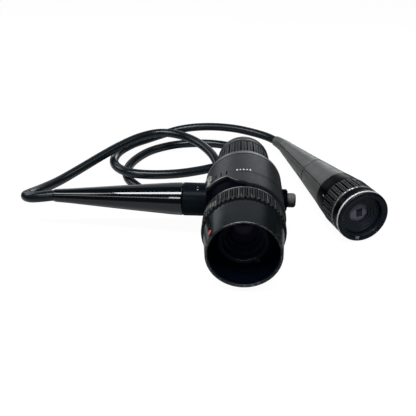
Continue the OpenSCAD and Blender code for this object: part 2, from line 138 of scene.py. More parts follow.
def principled(name):
    """A new material holding one Principled shader: (material, graph, shader)."""
    material = bpy.data.materials.new(name)
    material.use_nodes = True
    graph = Graph(material.node_tree)
    graph.tree.nodes.clear()
    graph.node("OutputMaterial")
    shader = graph.node("BsdfPrincipled")
    graph.finish(shader.outputs[0])
    graph.texture_coords("Object")
    return material, graph, shader


def surface(name, base, rough, mottle=(0.12, 180.0), metallic=0.0, bump=0.03, bump_scale=2600.0,
            dust_and_sheen=0.0, specks=0.0, worn=None, coat=0.0, coat_rough=0.08, spec=0.5, ior=1.5,
            tint=None):
    """Surface with mottling, uneven gloss, dust on upward faces (a painted top sheen when the
    amount is large), specks and rubbed spots.

    rough is (lowest, highest), mottle (amount, noise scale), worn (amount, colour, noise scale).
    """
    material, graph, shader = principled(name)
    amount, scale = mottle
    dark, light = ([c * k for c in base] for k in (1 - amount, 1 + amount))
    color = graph.mix(graph.remap(graph.noise(scale, 5), (0.3, 0.7)), dark, light)
    gloss = graph.remap(graph.noise(scale * 3.1, 4), (0.3, 0.7), rough)
    # Upward faces go grey: a small amount is dust, a large amount is a painted sheen where the top
    # light falls.
    if dust_and_sheen > 0:
        normal = graph.node("NewGeometry").outputs["Normal"]
        upward = graph.node("SeparateXYZ", {0: normal}).outputs[2]
        upward = graph.remap(upward, (0.1, 1.0), (0.0, dust_and_sheen))
        patchy = graph.remap(graph.noise(scale * 5, 6, rough=0.7), (0.42, 0.72), (0.15, 1.0))
        film = graph.multiply(upward, patchy)
        color = graph.mix(film, color, (0.30, 0.30, 0.30))
        gloss = graph.mix(film, gloss, 0.75, "FLOAT")
    if specks > 0:
        cells = graph.node("TexVoronoi", {"Vector": graph.coords, "Scale": 520.0})
        dots = graph.remap(cells.outputs["Distance"], (0.05, 0.11), (specks, 0.0))
        gate = graph.remap(graph.noise(150.0, 3), (0.52, 0.62))
        color = graph.mix(graph.multiply(dots, gate), color, (0.55, 0.55, 0.53))
    if worn:
        amount, worn_color, worn_scale = worn
        limits = (0.62 - 0.32 * amount, 0.68 - 0.26 * amount)
        rubbed = graph.remap(graph.noise(worn_scale, 7, rough=0.7), limits)
        color = graph.mix(rubbed, color, worn_color)
        metallic = graph.multiply(graph.multiply(rubbed, 0.85), 1.0)
        gloss = graph.mix(rubbed, gloss, 0.34, "FLOAT")
    graph.fill(shader, {
        "Base Color": color, "Roughness": gloss, "Metallic": metallic, "IOR": ior,
        "Specular IOR Level": spec, "Coat Weight": coat, "Coat Roughness": coat_rough})
    if tint:
        graph.fill(shader, {"Specular Tint": tint})
    if bump > 0:
        height = graph.noise(bump_scale, 3)
        relief = graph.node("Bump", {"Strength": bump, "Distance": 0.0004, "Height": height})
        graph.fill(shader, {"Normal": relief.outputs[0]})
    return material


def lens(name, base, tint, spec):
    """Coated glass, darker where it is seen at a slant."""
    material, graph, shader = principled(name)
    facing = graph.node("LayerWeight", {0: 0.35}).outputs["Facing"]
    slanted = [c * 0.35 for c in base]
    graph.fill(shader, {
        "Base Color": graph.mix(graph.remap(facing, (0.0, 0.9)), base, slanted),
        "Roughness": graph.remap(graph.noise(240.0, 4), (0.35, 0.7), (0.03, 0.09)),
        "IOR": 1.5, "Specular IOR Level": spec, "Specular Tint": tint})
    return material


# ------------------------------------------------------------------ materials

BLUE = (0.86, 0.94, 1.0)
MATERIALS = {
    # cup and shell
    "cup": surface("cup_satin_black", (0.0026, 0.0046, 0.0056), rough=(0.17, 0.26),
                   mottle=(0.16, 110), dust_and_sheen=0.008, specks=0.05, tint=BLUE),
    "cup_edge": surface("cup_rubbed_rim", (0.020, 0.024, 0.026), rough=(0.26, 0.38),
                        worn=(0.34, (0.26, 0.26, 0.26), 420), bump=0.08, spec=0.4),
    "cup_bevel": surface("cup_mouth_bevel", (0.0100, 0.0128, 0.0150), rough=(0.28, 0.40),
                         worn=(0.10, (0.12, 0.12, 0.12), 420), bump=0.06, spec=0.22, ior=1.35,
                         tint=BLUE),
    "cup_in": surface("cup_inside_black", (0.0006, 0.0016, 0.0046), rough=(0.34, 0.55),
                      mottle=(0.25, 160), specks=0.02, bump=0.06, spec=0.02, tint=BLUE),
    "shell": surface("shell_grey_black", (0.0130, 0.0152, 0.0162), rough=(0.32, 0.44),
                     mottle=(0.14, 90), dust_and_sheen=0.02, specks=0.06, bump=0.07, bump_scale=3600,
                     spec=0.36, tint=BLUE),
    "shell_edge": surface("shell_rubbed_edge", (0.16, 0.16, 0.155), rough=(0.30, 0.42),
                          worn=(0.90, (0.66, 0.65, 0.62), 300), bump=0.05),
    "shell_edge_dim": surface("shell_edge_dim", (0.024, 0.025, 0.026), rough=(0.30, 0.42),
                              worn=(0.46, (0.40, 0.39, 0.36), 360), bump=0.05, spec=0.3),
    "neck": surface("neck_black", (0.0006, 0.0016, 0.0034), rough=(0.24, 0.36),
                    mottle=(0.2, 120), specks=0.03, ior=1.035, tint=BLUE),
    # The knob's large upward-face amount paints its top light grey: a painted sheen from the top
    # light, not dust.
    "knob": surface("knob_black", (0.0018, 0.0032, 0.0046), rough=(0.24, 0.36),
                    mottle=(0.2, 300), specks=0.10, spec=0.20, dust_and_sheen=1.15),
    # lock ring, grips and rubbed edges
    "grip": surface("grip_black", (0.0085, 0.0112, 0.0126), rough=(0.34, 0.50),
                    mottle=(0.3, 420), dust_and_sheen=0.02, bump=0.12, bump_scale=1800, spec=0.24,
                    tint=BLUE),
    # Bright patch for the lock ring's upper left ribs: a painted highlight of the left light, its
    # rubbed spots part of that highlight.
    "rub_hi": surface("lock_painted_highlight", (0.16, 0.16, 0.158), rough=(0.32, 0.46),
                      mottle=(0.4, 520), worn=(0.45, (0.52, 0.52, 0.50), 800), bump=0.1,
                      spec=0.4),
    "lock": surface("lock_black", (0.0110, 0.0138, 0.0152), rough=(0.34, 0.50),
                    mottle=(0.45, 620), dust_and_sheen=0.02, bump=0.12, bump_scale=1800, ior=1.2,
                    tint=BLUE),
    "lock_mid": surface("lock_mid_black", (0.0300, 0.0340, 0.0355), rough=(0.34, 0.50),
                        mottle=(0.45, 620), dust_and_sheen=0.02, worn=(0.14, (0.24, 0.24, 0.23), 900),
                        bump=0.12, bump_scale=1800, ior=1.2),
    "chamfer_hi": surface("lock_rear_chamfer", (0.28, 0.285, 0.285), rough=(0.28, 0.40),
                          worn=(0.5, (0.60, 0.60, 0.59), 380), bump=0.05),
    "shell_band": surface("shell_rear_band", (0.070, 0.074, 0.074), rough=(0.28, 0.40),
                          worn=(0.22, (0.30, 0.30, 0.29), 420), bump=0.05),
    "flange_hi": surface("flange_rubbed", (0.34, 0.335, 0.32), rough=(0.28, 0.42),
                         worn=(0.62, (0.66, 0.64, 0.60), 260), bump=0.06),
    "line_soft": surface("turned_line", (0.0085, 0.0095, 0.0100), rough=(0.5, 0.6),
                         mottle=(0.2, 400), spec=0.2),
    "cone": surface("cone_gloss_black", (0.0009, 0.0016, 0.0027), rough=(0.20, 0.30),
                    mottle=(0.35, 300), specks=0.2, spec=0.10, ior=1.22, tint=BLUE),
    "collar_b": surface("collar_black", (0.0016, 0.0026, 0.0038), rough=(0.22, 0.34),
                        mottle=(0.4, 400), specks=0.35, spec=0.35, ior=1.2, tint=BLUE),
    "rib_b": surface("viewer_rib_black", (0.0500, 0.0530, 0.0550), rough=(0.28, 0.42),
                     mottle=(0.5, 620), worn=(0.28, (0.30, 0.30, 0.30), 900), bump=0.12,
                     bump_scale=1800, spec=0.62, tint=BLUE),
    # Bright rib crowns and slot edges: a painted highlight, mottled with rubbed spots.
    "grip_tip": surface("grip_tips_painted_highlight", (0.050, 0.053, 0.054), rough=(0.34, 0.5),
                        worn=(0.32, (0.30, 0.30, 0.29), 520), bump=0.1, spec=0.3),
    "grip_mid": surface("grip_mid_black", (0.0170, 0.0200, 0.0212), rough=(0.34, 0.5),
                        mottle=(0.3, 420), dust_and_sheen=0.02, bump=0.12, bump_scale=1800, spec=0.26),
    "edge_line": surface("edge_line_rubbed", (0.085, 0.088, 0.088), rough=(0.28, 0.40),
                         worn=(0.40, (0.40, 0.40, 0.39), 380), bump=0.05, spec=0.45),
    # Near-black colour for grooves, notches and slots: painted shade.
    "grip_gap": surface("gap_painted_shade_black", (0.0005, 0.0008, 0.0014), rough=(0.5, 0.7),
                        mottle=(0.3, 420), spec=0.1, ior=1.06),
    # boots, arm, cable and second viewer
    "boot_a": surface("boot_gloss_black", (0.0018, 0.0034, 0.0050), rough=(0.05, 0.08),
                      mottle=(0.2, 140), specks=0.08, coat=0.60, coat_rough=0.05, bump=0.006,
                      bump_scale=700),
    "arm": surface("arm_satin_black", (0.0038, 0.0062, 0.0088), rough=(0.24, 0.32),
                   mottle=(0.2, 140), specks=0.05, spec=0.04, bump=0.02, bump_scale=900,
                   tint=BLUE),
    "cable": surface("cable_sheath_black", (0.0050, 0.0080, 0.0106), rough=(0.18, 0.27),
                     mottle=(0.18, 120), specks=0.06, dust_and_sheen=0.015, bump_scale=900, spec=0.44,
                     tint=BLUE),
    "viewer": surface("viewer_moulded_grey", (0.080, 0.084, 0.083), rough=(0.32, 0.44),
                      mottle=(0.12, 60), specks=0.10, dust_and_sheen=0.03, bump=0.05, bump_scale=2200),
    "seam": surface("seam_dark", (0.0022, 0.0024, 0.0028), rough=(0.5, 0.7),
                    mottle=(0.3, 400), spec=0.1),
    # bare metal and paint
    "bright": surface("rim_bright_metal", (0.80, 0.80, 0.80), rough=(0.34, 0.48),
                      metallic=0.35, mottle=(0.06, 120), bump=0.02),
    "tab": surface("tab_dull_metal", (0.24, 0.25, 0.26), rough=(0.3, 0.45), metallic=0.7,
                   mottle=(0.2, 500), bump=0.06),
    "steel": surface("turned_steel", (0.34, 0.33, 0.31), rough=(0.26, 0.42), metallic=1.0,
                     mottle=(0.14, 420), bump=0.08),
    "screw": surface("dull_screw", (0.42, 0.40, 0.36), rough=(0.34, 0.50), metallic=0.2,
                     mottle=(0.25, 900), bump=0.1),
    "rimworn": surface("flange_worn_plate", (0.115, 0.112, 0.104), rough=(0.30, 0.46),
                       worn=(0.58, (0.50, 0.48, 0.43), 260), bump=0.08, spec=0.4),
    "red": surface("index_red", (0.66, 0.085, 0.090), rough=(0.28, 0.42),
                   mottle=(0.25, 600), bump=0.05),
    "cream": surface("index_cream", (0.30, 0.28, 0.20), rough=(0.35, 0.5),
                     mottle=(0.25, 700), bump=0.05),
    "white": surface("index_white", (0.80, 0.80, 0.79), rough=(0.4, 0.5),
                     mottle=(0.08, 900), bump=0.02),
    # insides, faces and optics
    "inner": surface("inner_black", (0.0008, 0.0014, 0.0030), rough=(0.36, 0.50),
                     mottle=(0.25, 300), bump=0.05, spec=0.05, tint=BLUE),
    "inner_obj": surface("objective_cell_black", (0.0090, 0.0120, 0.0240), rough=(0.36, 0.50),
                         mottle=(0.25, 300), bump=0.05, spec=0.05, tint=BLUE),
    "inner_lip": surface("inner_lip_rubbed", (0.0110, 0.0130, 0.0160), rough=(0.30, 0.42),
                         worn=(0.22, (0.09, 0.09, 0.10), 500), bump=0.05, spec=0.12),
    "pin_dark": surface("pin_dark", (0.010, 0.011, 0.013), rough=(0.30, 0.44),
                        mottle=(0.2, 500), bump=0.05, spec=0.15),
    "face": surface("face_black", (0.0040, 0.0066, 0.0108), rough=(0.22, 0.36),
                    mottle=(0.8, 520), specks=0.9, bump=0.14, spec=0.22, tint=BLUE),
    "face_step": surface("face_step_black", (0.0095, 0.0130, 0.0180), rough=(0.22, 0.34),
                         mottle=(0.35, 300), specks=0.15, bump=0.04, spec=0.25, tint=BLUE),
    "grey_disc": surface("stop_grey", (0.040, 0.040, 0.044), rough=(0.35, 0.5),
                         mottle=(0.10, 300)),
    "fibre": surface("fibre_end", (0.045, 0.047, 0.055), rough=(0.2, 0.3),
                     mottle=(0.25, 1500), bump=0.05),
    "bundle": surface("fibre_bundle", (0.42, 0.38, 0.24), rough=(0.3, 0.5),
                      mottle=(0.25, 1500), bump=0.2),
    "objective": lens("objective_violet", (0.020, 0.016, 0.036), tint=(0.80, 0.70, 1.0),
                      spec=0.16),
    "eye": lens("eye_lens_bloom", (0.006, 0.0065, 0.010), tint=(0.70, 0.75, 1.0), spec=0.35),
    "prism": surface("prism_glass", (0.42, 0.47, 0.49), rough=(0.03, 0.08),
                     mottle=(0.05, 200), bump=0.0, ior=1.6, spec=0.8),
}

# ------------------------------------------------------------------ axes

X, Y, Z = np.eye(3)


class Axis:
    """A turning axis: origin, direction, and the two directions the angle is counted in."""

    def __init__(self, origin, along, u, v=None):
        v = np.cross(along, u) if v is None else v
        self.origin, self.along, self.u, self.v = (
            np.array(part, float) for part in (origin, along, u, v))

    def at(self, r, th, s):
        """The point at radius r and angle th, s along the axis."""
        return self.origin + self.along * s + r * (math.cos(th) * self.u + math.sin(th) * self.v)


MAIN = Axis((0, 0, 0), Y, X, Z)
ARM = Axis((0, ARM_Y, 0), -X, Y, Z)
KNOB = Axis((0, KNOB_Y, 0), X, Y)

# The second viewer's axis runs back from its face, turned to the left and dipping a little
VIEW_YAW, VIEW_TILT = math.radians(16.93), math.radians(-2.64)
VIEW_FACE = np.array((99.4, 61.4, -9.4))
VIEW_ALONG = np.array((-math.sin(VIEW_YAW) * math.cos(VIEW_TILT),
                       math.cos(VIEW_YAW) * math.cos(VIEW_TILT), math.sin(VIEW_TILT)))
VIEW_RIGHT = np.array((math.cos(VIEW_YAW), math.sin(VIEW_YAW), 0.0))
VIEW_UP = np.cross(VIEW_RIGHT, VIEW_ALONG)
VIEW = Axis(VIEW_FACE, VIEW_ALONG, VIEW_RIGHT, VIEW_UP)

CLAW_AXES = []
for degrees in (90, 210, 330):
    outward = (math.cos(math.radians(degrees)), 0.0, math.sin(math.radians(degrees)))
    CLAW_AXES.append(Axis((0, 3.6, 0), outward, Y))

# ------------------------------------------------------------------ geometry helpers


def shade_smooth(mesh):
    mesh.polygons.foreach_set("use_smooth", [True] * len(mesh.polygons))
    mesh.update()


def add_mesh(name, verts, faces, mats, face_slots=None, sharp=32):
    """Make an object from points in mm. Doubled points merge and all sides face outwards.

    Edges steeper than sharp degrees stay crisp.
    """
    mesh = bpy.data.meshes.new(name)
    mesh.from_pydata((np.array(verts, float) * MM).tolist(), [], faces)
    for key in mats:
        mesh.materials.append(MATERIALS[key])
    if face_slots:
        mesh.polygons.foreach_set("material_index", face_slots)
    shade_smooth(mesh)
    ob = bpy.data.objects.new(name, mesh)
    scene.collection.objects.link(ob)
    bm = bmesh.new()
    bm.from_mesh(mesh)
    bmesh.ops.remove_doubles(bm, verts=bm.verts, dist=1e-7)
    bmesh.ops.recalc_face_normals(bm, faces=bm.faces)
    bm.to_mesh(mesh)
    bm.free()
    shade_smooth(mesh)
    mesh.set_sharp_from_angle(angle=math.radians(sharp))
    return ob


def ring_faces(count, size, closed):
    """Quads between count rings of size points, joined end to end if closed, else capped."""
    faces = []
    for j in range(count if closed else count - 1):
        here, there = j * size, (j + 1) % count * size
        for i in range(size):
            k = (i + 1) % size
            faces.append((here + i, here + k, there + k, there + i))
    if not closed:
        faces += [tuple(range(size)), tuple(reversed(range((count - 1) * size, count * size)))]
    return faces


def even_angles(count):
    return [TAU * j / count for j in range(count)]


def mid_angles(angles):
    return [(a + b) / 2 for a, b in zip(angles, angles[1:] + [angles[0] + TAU])]


def angle_between(a, b):
    return abs(math.atan2(math.sin(a - b), math.cos(a - b)))


def smooth_step(x, low, high):
    t = min(1.0, max(0.0, (x - low) / (high - low)))
    return t * t * (3 - 2 * t)


def in_spans(value, *spans):
    return any(low < value < high for low, high in spans)


def fillet(outline):
    """Round the corners of a closed outline.

    Outline columns: radius, place along the axis, corner size, material of the side that
    follows, material of the corner (None: as the side), tag for the radius function.
    Columns left out are 0.22, 0, None, 0. A material is a slot number, or a word that the
    paint function turns into one. Gives points (radius, place, material, tag).
    """
    steps = 3
    points = []
    for i, (r, s, *rest) in enumerate(outline):
        size, side, corner, tag = (*rest, *(0.22, 0, None, 0)[len(rest):])
        p = np.array((r, s), float)
        before = np.array(outline[i - 1][:2], float) - p
        after = np.array(outline[(i + 1) % len(outline)][:2], float) - p
        size_before, size_after = np.linalg.norm(before), np.linalg.norm(after)
        size = min(size, 0.45 * size_before, 0.45 * size_after)
        if size < 1e-6 or r < 1e-6:
            points.append((r, s, side, tag))
            continue
        start, end = p + before / size_before * size, p + after / size_after * size
        for j in range(steps + 1):
            t = j / steps
            q = (1 - t) ** 2 * start + 2 * t * (1 - t) * p + t * t * end
            rounded = j < steps and corner is not None
            points.append((q[0], q[1], corner if rounded else side, tag))
    return points


def revolve(name, points, axis, mats, segments=None, radius=None, paint=None, sharp=32,
            angles=None):
    """Turned closed solid through points as fillet gives them.

    radius(r, th, tag) may change a point's radius. paint(material, th, s, r) may change a
    face's material, to a slot number or to one of mats.
    """
    angles = angles or even_angles(segments)
    verts = [axis.at(radius(r, th, tag) if radius else r, th, s)
             for th in angles for r, s, _, tag in points]
    sides = list(zip(points, points[1:] + points[:1]))
    slots = []
    for th in mid_angles(angles):
        for near, far in sides:
            slot = near[2]
            if paint:
                slot = paint(slot, th, (near[1] + far[1]) / 2, (near[0] + far[0]) / 2)
            slots.append(mats.index(slot) if isinstance(slot, str) else slot)
    faces = ring_faces(len(angles), len(points), closed=True)
    return add_mesh(name, verts, faces, mats, slots, sharp)


def lathe(name, outline, *args, **options):
    return revolve(name, fillet(outline), *args, **options)


def dome(name, axis, mat, radius, edge, apex, back):
    """Lens with a spherical front from its rim at edge to its apex, and a flat back."""
    rings = 14
    height = abs(apex - edge)
    sphere = (radius * radius + height * height) / (2 * height)
    toward_edge = 1 if edge > apex else -1
    points = []
    for i in range(rings + 1):
        r = radius * i / rings
        depth = sphere - math.sqrt(sphere * sphere - r * r)
        points.append((r, apex + depth * toward_edge, 0, 0))
    points += [(radius, back, 0, 0), (0.0, back, 0, 0)]
    return revolve(name, points, axis, [mat], segments=96, sharp=40)


def patch(name, axis, radius_at, angles, span, mat, thick, grid):
    """A thin raised strip on a round surface. grid is its steps (round, along) the axis."""
    n_round, n_along = grid
    mid, half = sum(angles) / 2, (angles[1] - angles[0]) / 2
    top, under = [], []
    for a in range(n_round + 1):
        for b in range(n_along + 1):
            s = span[0] + (span[1] - span[0]) * b / n_along
            th = mid + half * (2 * a / n_round - 1)
            height = thick * (1 if 0 < a < n_round and 0 < b < n_along else 0.35)
            top.append(axis.at(radius_at(s) + height, th, s))
            under.append(axis.at(radius_at(s) - 0.12, th, s))
    low, row = len(top), n_along + 1
    faces = []
    for a in range(n_round):
        for b in range(n_along):
            i = a * row + b
            faces.append((i, i + 1, i + row + 1, i + row))
            faces.append((low + i, low + i + row, low + i + row + 1, low + i + 1))
    for b in range(n_along):
        faces.append((b, low + b, low + b + 1, b + 1))
        i = n_round * row + b
        faces.append((i, i + 1, low + i + 1, low + i))
    for a in range(n_round):
        i = a * row
        faces.append((i, i + row, low + i + row, low + i))
        i += n_along
        faces.append((i, low + i, low + i + row, i + row))
    return add_mesh(name, top + under, faces, [mat], sharp=50)


def bore_claw_holes(ob, start, end):
    """Take the three claws' round holes out of a piece, from start to end along each claw."""
    sides, radius = 48, 1.35
    for axis in CLAW_AXES:
        verts = [axis.at(radius, th, s) for s in (start, end) for th in even_angles(sides)]
        faces = [tuple(range(sides)), tuple(reversed(range(sides, 2 * sides)))]
        for i in range(sides):
            k = (i + 1) % sides
            faces.append((i, sides + i, sides + k, k))
        cutter = add_mesh("bore_cut", verts, faces, ["inner"], sharp=30)
        cut = ob.modifiers.new("bore", "BOOLEAN")
        cut.operation = "DIFFERENCE"
        cut.solver = "EXACT"
        cut.object = cutter
        evaluated = ob.evaluated_get(bpy.context.evaluated_depsgraph_get())
        mesh = bpy.data.meshes.new_from_object(evaluated)
        ob.modifiers.clear()
        ob.data = mesh
        bpy.data.objects.remove(cutter)
    return ob


def put(ob, body, node=None):
    """Let a piece ride on a body, and stand in for a CAD node if named."""
    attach(ob, body)
    if node:
        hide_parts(node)


# ------------------------------------------------------------------ coupling cup


def cup_wall_grooves():
    """Fine grooves round the cup's inner wall, from the mouth inwards."""
    grooves = []
    y = -15.6
    while y < 0.6:
        r = 25.7 + (y + 16.6) * (1.2 / 18.6)
        grooves += [(r + 0.02, y, 0.05, 2), (r + 0.22, y + 0.45, 0.05, 2)]
        y += 0.9
    return grooves


def cup_paint(slot, th, s, r):
    if slot == 1 and in_spans(math.degrees(th), (96, 120), (56, 68), (150, 215)):
        return "edge_line"
    return slot


CUP = [
    (28.0, -17.55, 0.12), (29.9, 2.0, 4), (30.7, 9.2, 0.5), (30.1, 9.9), (29.0, 9.9),
    (29.0, 28.0), (18.05, 28.0), (18.05, 2.0, 0.22, 2), (26.9, 2.0, 0.6, 2),
    *cup_wall_grooves()[::-1],
    (25.75, -16.9, 0.3, 4), (26.75, -17.95, 0.14, 0, 1), (27.65, -18.0, 0.16, 0, 1)]
cup = lathe("cup", CUP, MAIN, ["cup", "cup_edge", "cup_in", "edge_line", "cup_bevel"],
            segments=192, paint=cup_paint)
put(bore_claw_holes(cup, 17.0, 26.2), "main_unit", "coupling_cup")


def cup_radius(s):
    """Outer radius of the cup wall."""
    return 28.0 + (s + 17.5) * (1.9 / 19.5)


def index_button():
    """A round button at the cup's upper left whose crown follows the cup wall."""
    th0, s0, radius, crown = math.radians(150), -11.2, 2.2, 0.26
    rings, sides = 7, 40
    verts = [MAIN.at(cup_radius(s0) + crown, th0, s0)]
    for i in range(1, rings + 1):
        r = radius * i / rings
        height = crown * (1 - (i / rings) ** 6) - (0.10 if i == rings else 0.0)
        for a in even_angles(sides):
            s = s0 + r * math.sin(a)
            verts.append(MAIN.at(cup_radius(s) + height, th0 + r * math.cos(a) / 29.0, s))
    faces = [(0, 1 + k, 1 + (k + 1) % sides) for k in range(sides)]
    for i in range(rings - 1):
        inner, outer = 1 + i * sides, 1 + (i + 1) * sides
        for k in range(sides):
            m = (k + 1) % sides
            faces.append((inner + k, outer + k, outer + m, inner + m))
    rim = 1 + (rings - 1) * sides
    faces.append(tuple(range(rim, rim + sides)))
    return add_mesh("index_red", verts, faces, ["red"], sharp=50)


put(index_button(), "main_unit", "index_mark")

# ------------------------------------------------------------------ seat ring and pin

PIN_R, PIN_ANGLE = 19.2, math.radians(-55)
NOTCH_R, NOTCH_CENTRE = 2.35, 18.9


def seat_radius(r, th, tag):
    """Round notch in the rim that the pin head sits in."""
    x = angle_between(th, PIN_ANGLE) * r
    if tag == 1 and x < NOTCH_R:
        return min(r, NOTCH_CENTRE - math.sqrt(NOTCH_R ** 2 - x * x))
    return r


SEAT = [
    (16.45, 0.0, 0.18, 1), (16.75, 0.0, 0.1), (19.0, 0.25, 0.25, 0, 1, 1),
    (19.3, 1.94, 0.22, 0, 0, 1), (18.0, 1.94), (18.0, 9.9), (13.5, 9.9), (13.5, 7.0),
    (16.05, 7.0), (16.05, 0.55, 0.2, 1)]
seat = lathe("seat", SEAT, MAIN, ["inner_obj", "inner_lip"], segments=240, radius=seat_radius)
put(bore_claw_holes(seat, 12.0, 20.0), "main_unit", "seat_ring")

PIN = [
    (0.0, 0.75), (0.95, 0.75), (1.15, 0.1, 0.22, 0, 1), (1.9, 0.1, 0.3, 0, 1), (2.2, 0.5),
    (2.2, 1.94), (0.78, 1.94), (0.78, 4.9), (0, 4.9)]
pin_axis = Axis(MAIN.at(PIN_R, PIN_ANGLE, 0), Y, X, Z)
put(lathe("seat_pin", PIN, pin_axis, ["pin_dark", "inner_lip"], segments=40),
    "main_unit", "locating_pin")

# ------------------------------------------------------------------ objective

OBJECTIVE_CELL = [
    (13.5, 10), (17.98, 10), (17.98, 27.5), (10.5, 27.5), (10.5, 20), (12.05, 20),
    (12.05, 14), (13.5, 14)]
put(lathe("objective_tube", OBJECTIVE_CELL, MAIN, ["inner_obj"], segments=128),
    "main_unit", "objective_cell")
put(dome("objective_glass", MAIN, "objective", radius=11.98, edge=16.9, apex=14.45, back=19.9),
    "main_unit", "objective_lens")


def retainer_radius(r, th, tag):
    """Two slots in the retainer's front inner edge, left and right."""
    return r + 1.0 if tag == 1 and abs(math.sin(th)) < 0.06 else r


RETAINER = [(11.2, 12.0, 0.22, 0, 0, 1), (13.45, 12.0), (13.45, 13.95), (11.2, 13.95)]
put(lathe("objective_ring", RETAINER, MAIN, ["inner_obj"], segments=200,
          radius=retainer_radius), "main_unit", "objective_retainer")

# ------------------------------------------------------------------ lock ring

SCALLOPS, LOCK_RIBS = 54, 108
LOCK_RIB_R = 32.5
BRIGHT_RIBS = (10, 13, 17, 24, 28, 29, 33, 37, 39, 45)  # ribs whose crowns are painted bright, a painted highlight


def lock_radius(r, th, tag):
    """Tag 1 is the scalloped front edge, tag 2 the fine ribs of uneven height."""
    if tag == 1:
        phase = (th / TAU * SCALLOPS) % 1.0
        return r - 1.05 * (1 - smooth_step(abs(phase - 0.5), 0.20, 0.36))
    if tag == 2:
        turn = th / TAU * LOCK_RIBS
        k = int(turn) % LOCK_RIBS
        extra = 0.14 if (k * 7) % 5 == 0 else (0.06 if (k * 11) % 3 == 0 else 0.0)
        rib = 1 - smooth_step(abs(turn % 1.0 - 0.5), 0.20, 0.40)
        return r - 0.46 + (0.30 + extra) * rib
    return r


def lock_paint(slot, th, s, r):
    if slot == "scallops":
        # the scallops' notches are painted shade
        return "grip_gap" if 0.22 < (th / TAU * SCALLOPS) % 1.0 < 0.78 else "lock_mid"
    if slot == "chamfer":  # rubbed bright in two stretches
        d = math.degrees(th)
        if in_spans(d, (52, 72), (94, 122)):
            return "chamfer_hi"
        return "edge_line" if in_spans(d, (48, 128), (150, 166)) else "lock_mid"
    if slot != "ribs":
        return slot
    turn = th / TAU * LOCK_RIBS
    off_crown, k = abs(turn % 1.0 - 0.5), int(turn)
    if off_crown < 0.26:
        # a painted highlight on the rib crowns at the upper left, where the left light glints; it
        # sits nearer the front at its top end
        highlight_y = 15.0 + (k - 39) * 1.0
        if 39 <= k <= 49 and abs(s - highlight_y) < (3.2 if k < 46 else 2.0):
            return "rub_hi"
        # the crowns of these ribs get the painted highlight
        if k in BRIGHT_RIBS and (s < 17 or k % 2):
            return "grip_tip"
        return "lock_mid" if k % 2 else "lock"
    # the grooves between the ribs are painted shade
    return "lock" if off_crown < 0.36 else "grip_gap"


ribbed_band = [(LOCK_RIB_R, 12.5, 0.2, "ribs", None, 2)]
for i in range(1, 7):
    y = 12.4 + i * 1.9
    ribbed_band += [(LOCK_RIB_R, y - 0.10, 0.05, 2, 2, 2), (LOCK_RIB_R - 0.14, y, 0.03, 2, 2, 2),
                    (LOCK_RIB_R, y + 0.10, 0.05, "ribs", None, 2)]
LOCK = [
    (29.05, 10.05), (31.2, 10.05, 0.2), (32.2, 10.35, 0.2, "scallops", None, 1),
    (32.35, 11.6, 0.1, "ribs", None, 1), (32.45, 12.1, 0.1, 1), (32.4, 12.45, 0.05, 2),
    *ribbed_band,
    (32.05, 25.9, 0.2), (32.1, 26.9, 0.1, "chamfer"), (32.0, 27.9, 0.1, "chamfer"),
    (31.45, 28.6, 0.1), (30.9, 28.88), (29.05, 28.88)]
LOCK_MATS = ["lock", "grip_tip", "grip_gap", "edge_line", "lock_mid", "chamfer_hi", "rub_hi"]
put(lathe("lock_grip", LOCK, MAIN, LOCK_MATS, segments=1296, radius=lock_radius,
          paint=lock_paint, sharp=38), "lock_ring_body", "lock_ring")

# ------------------------------------------------------------------ neck and shell

NECK = [
    (24.05, 16.1), (27.0, 16.1), (27.0, 29.0), (30.6, 29.0), (31.0, 29.5), (31.0, 70),
    (28, 70), (28, 31.5), (24.05, 31.5)]
put(lathe("neck", NECK, MAIN, ["neck"], segments=192), "main_unit", "neck_barrel")

# Front edge on the shell's left side: height above or below the axis, y
CUT_EDGE = [(0.0, 64.0), (30.4, 49.0), (33.4, 35.0), (34.5, SHELL_FRONT)]


def front_edge(th):
    """y of the shell's front edge: straight on the right, cut back on the left."""
    x, z = SHELL_R * math.cos(th), abs(SHELL_R * math.sin(th))
    if x > 3.0:
        return SHELL_FRONT
    cut = np.interp(z, *zip(*CUT_EDGE))
    return SHELL_FRONT + (cut - SHELL_FRONT) * smooth_step(-x, -3.2, 1.5)


# Shell skin, each row: depth below the outer radius, distance from an end, material slot
SHELL_HEAD = [  # distance behind the front edge
    (SHELL_R - SHELL_BORE, 0.0, 0), (0.34, 0.0, 1), (0.14, 0.05, 1), (0.02, 0.24, 1),
    (0, 0.42, 0)]
SHELL_TAIL = [  # distance ahead of the back
    (0, 7.1, 2), (0.2, 6.85, 2), (0.2, 6.15, 2), (0, 5.9, 3), (0, 1.15, 3), (0.04, 0.95, 3),
    (0.35, 0.45, 3), (0.75, 0.08, 0), (1.1, 0, 0), (SHELL_R - SHELL_BORE, 0, 0)]
SHELL_OUTSIDE = [0.04, 0.12, 0.25, 0.4, 0.55, 0.7, 0.85, 0.95]  # fractions from head to tail
SHELL_INSIDE = [0.75, 0.5, 0.25]  # fractions from front to back


def edge_slot(degrees):
    """The cut edge is rubbed bright at the upper left, dimmer beside that, dark elsewhere."""
    if 106 < degrees < 150:
        return 1
    return 4 if 150 <= degrees < 162 or 98 < degrees <= 106 else 0


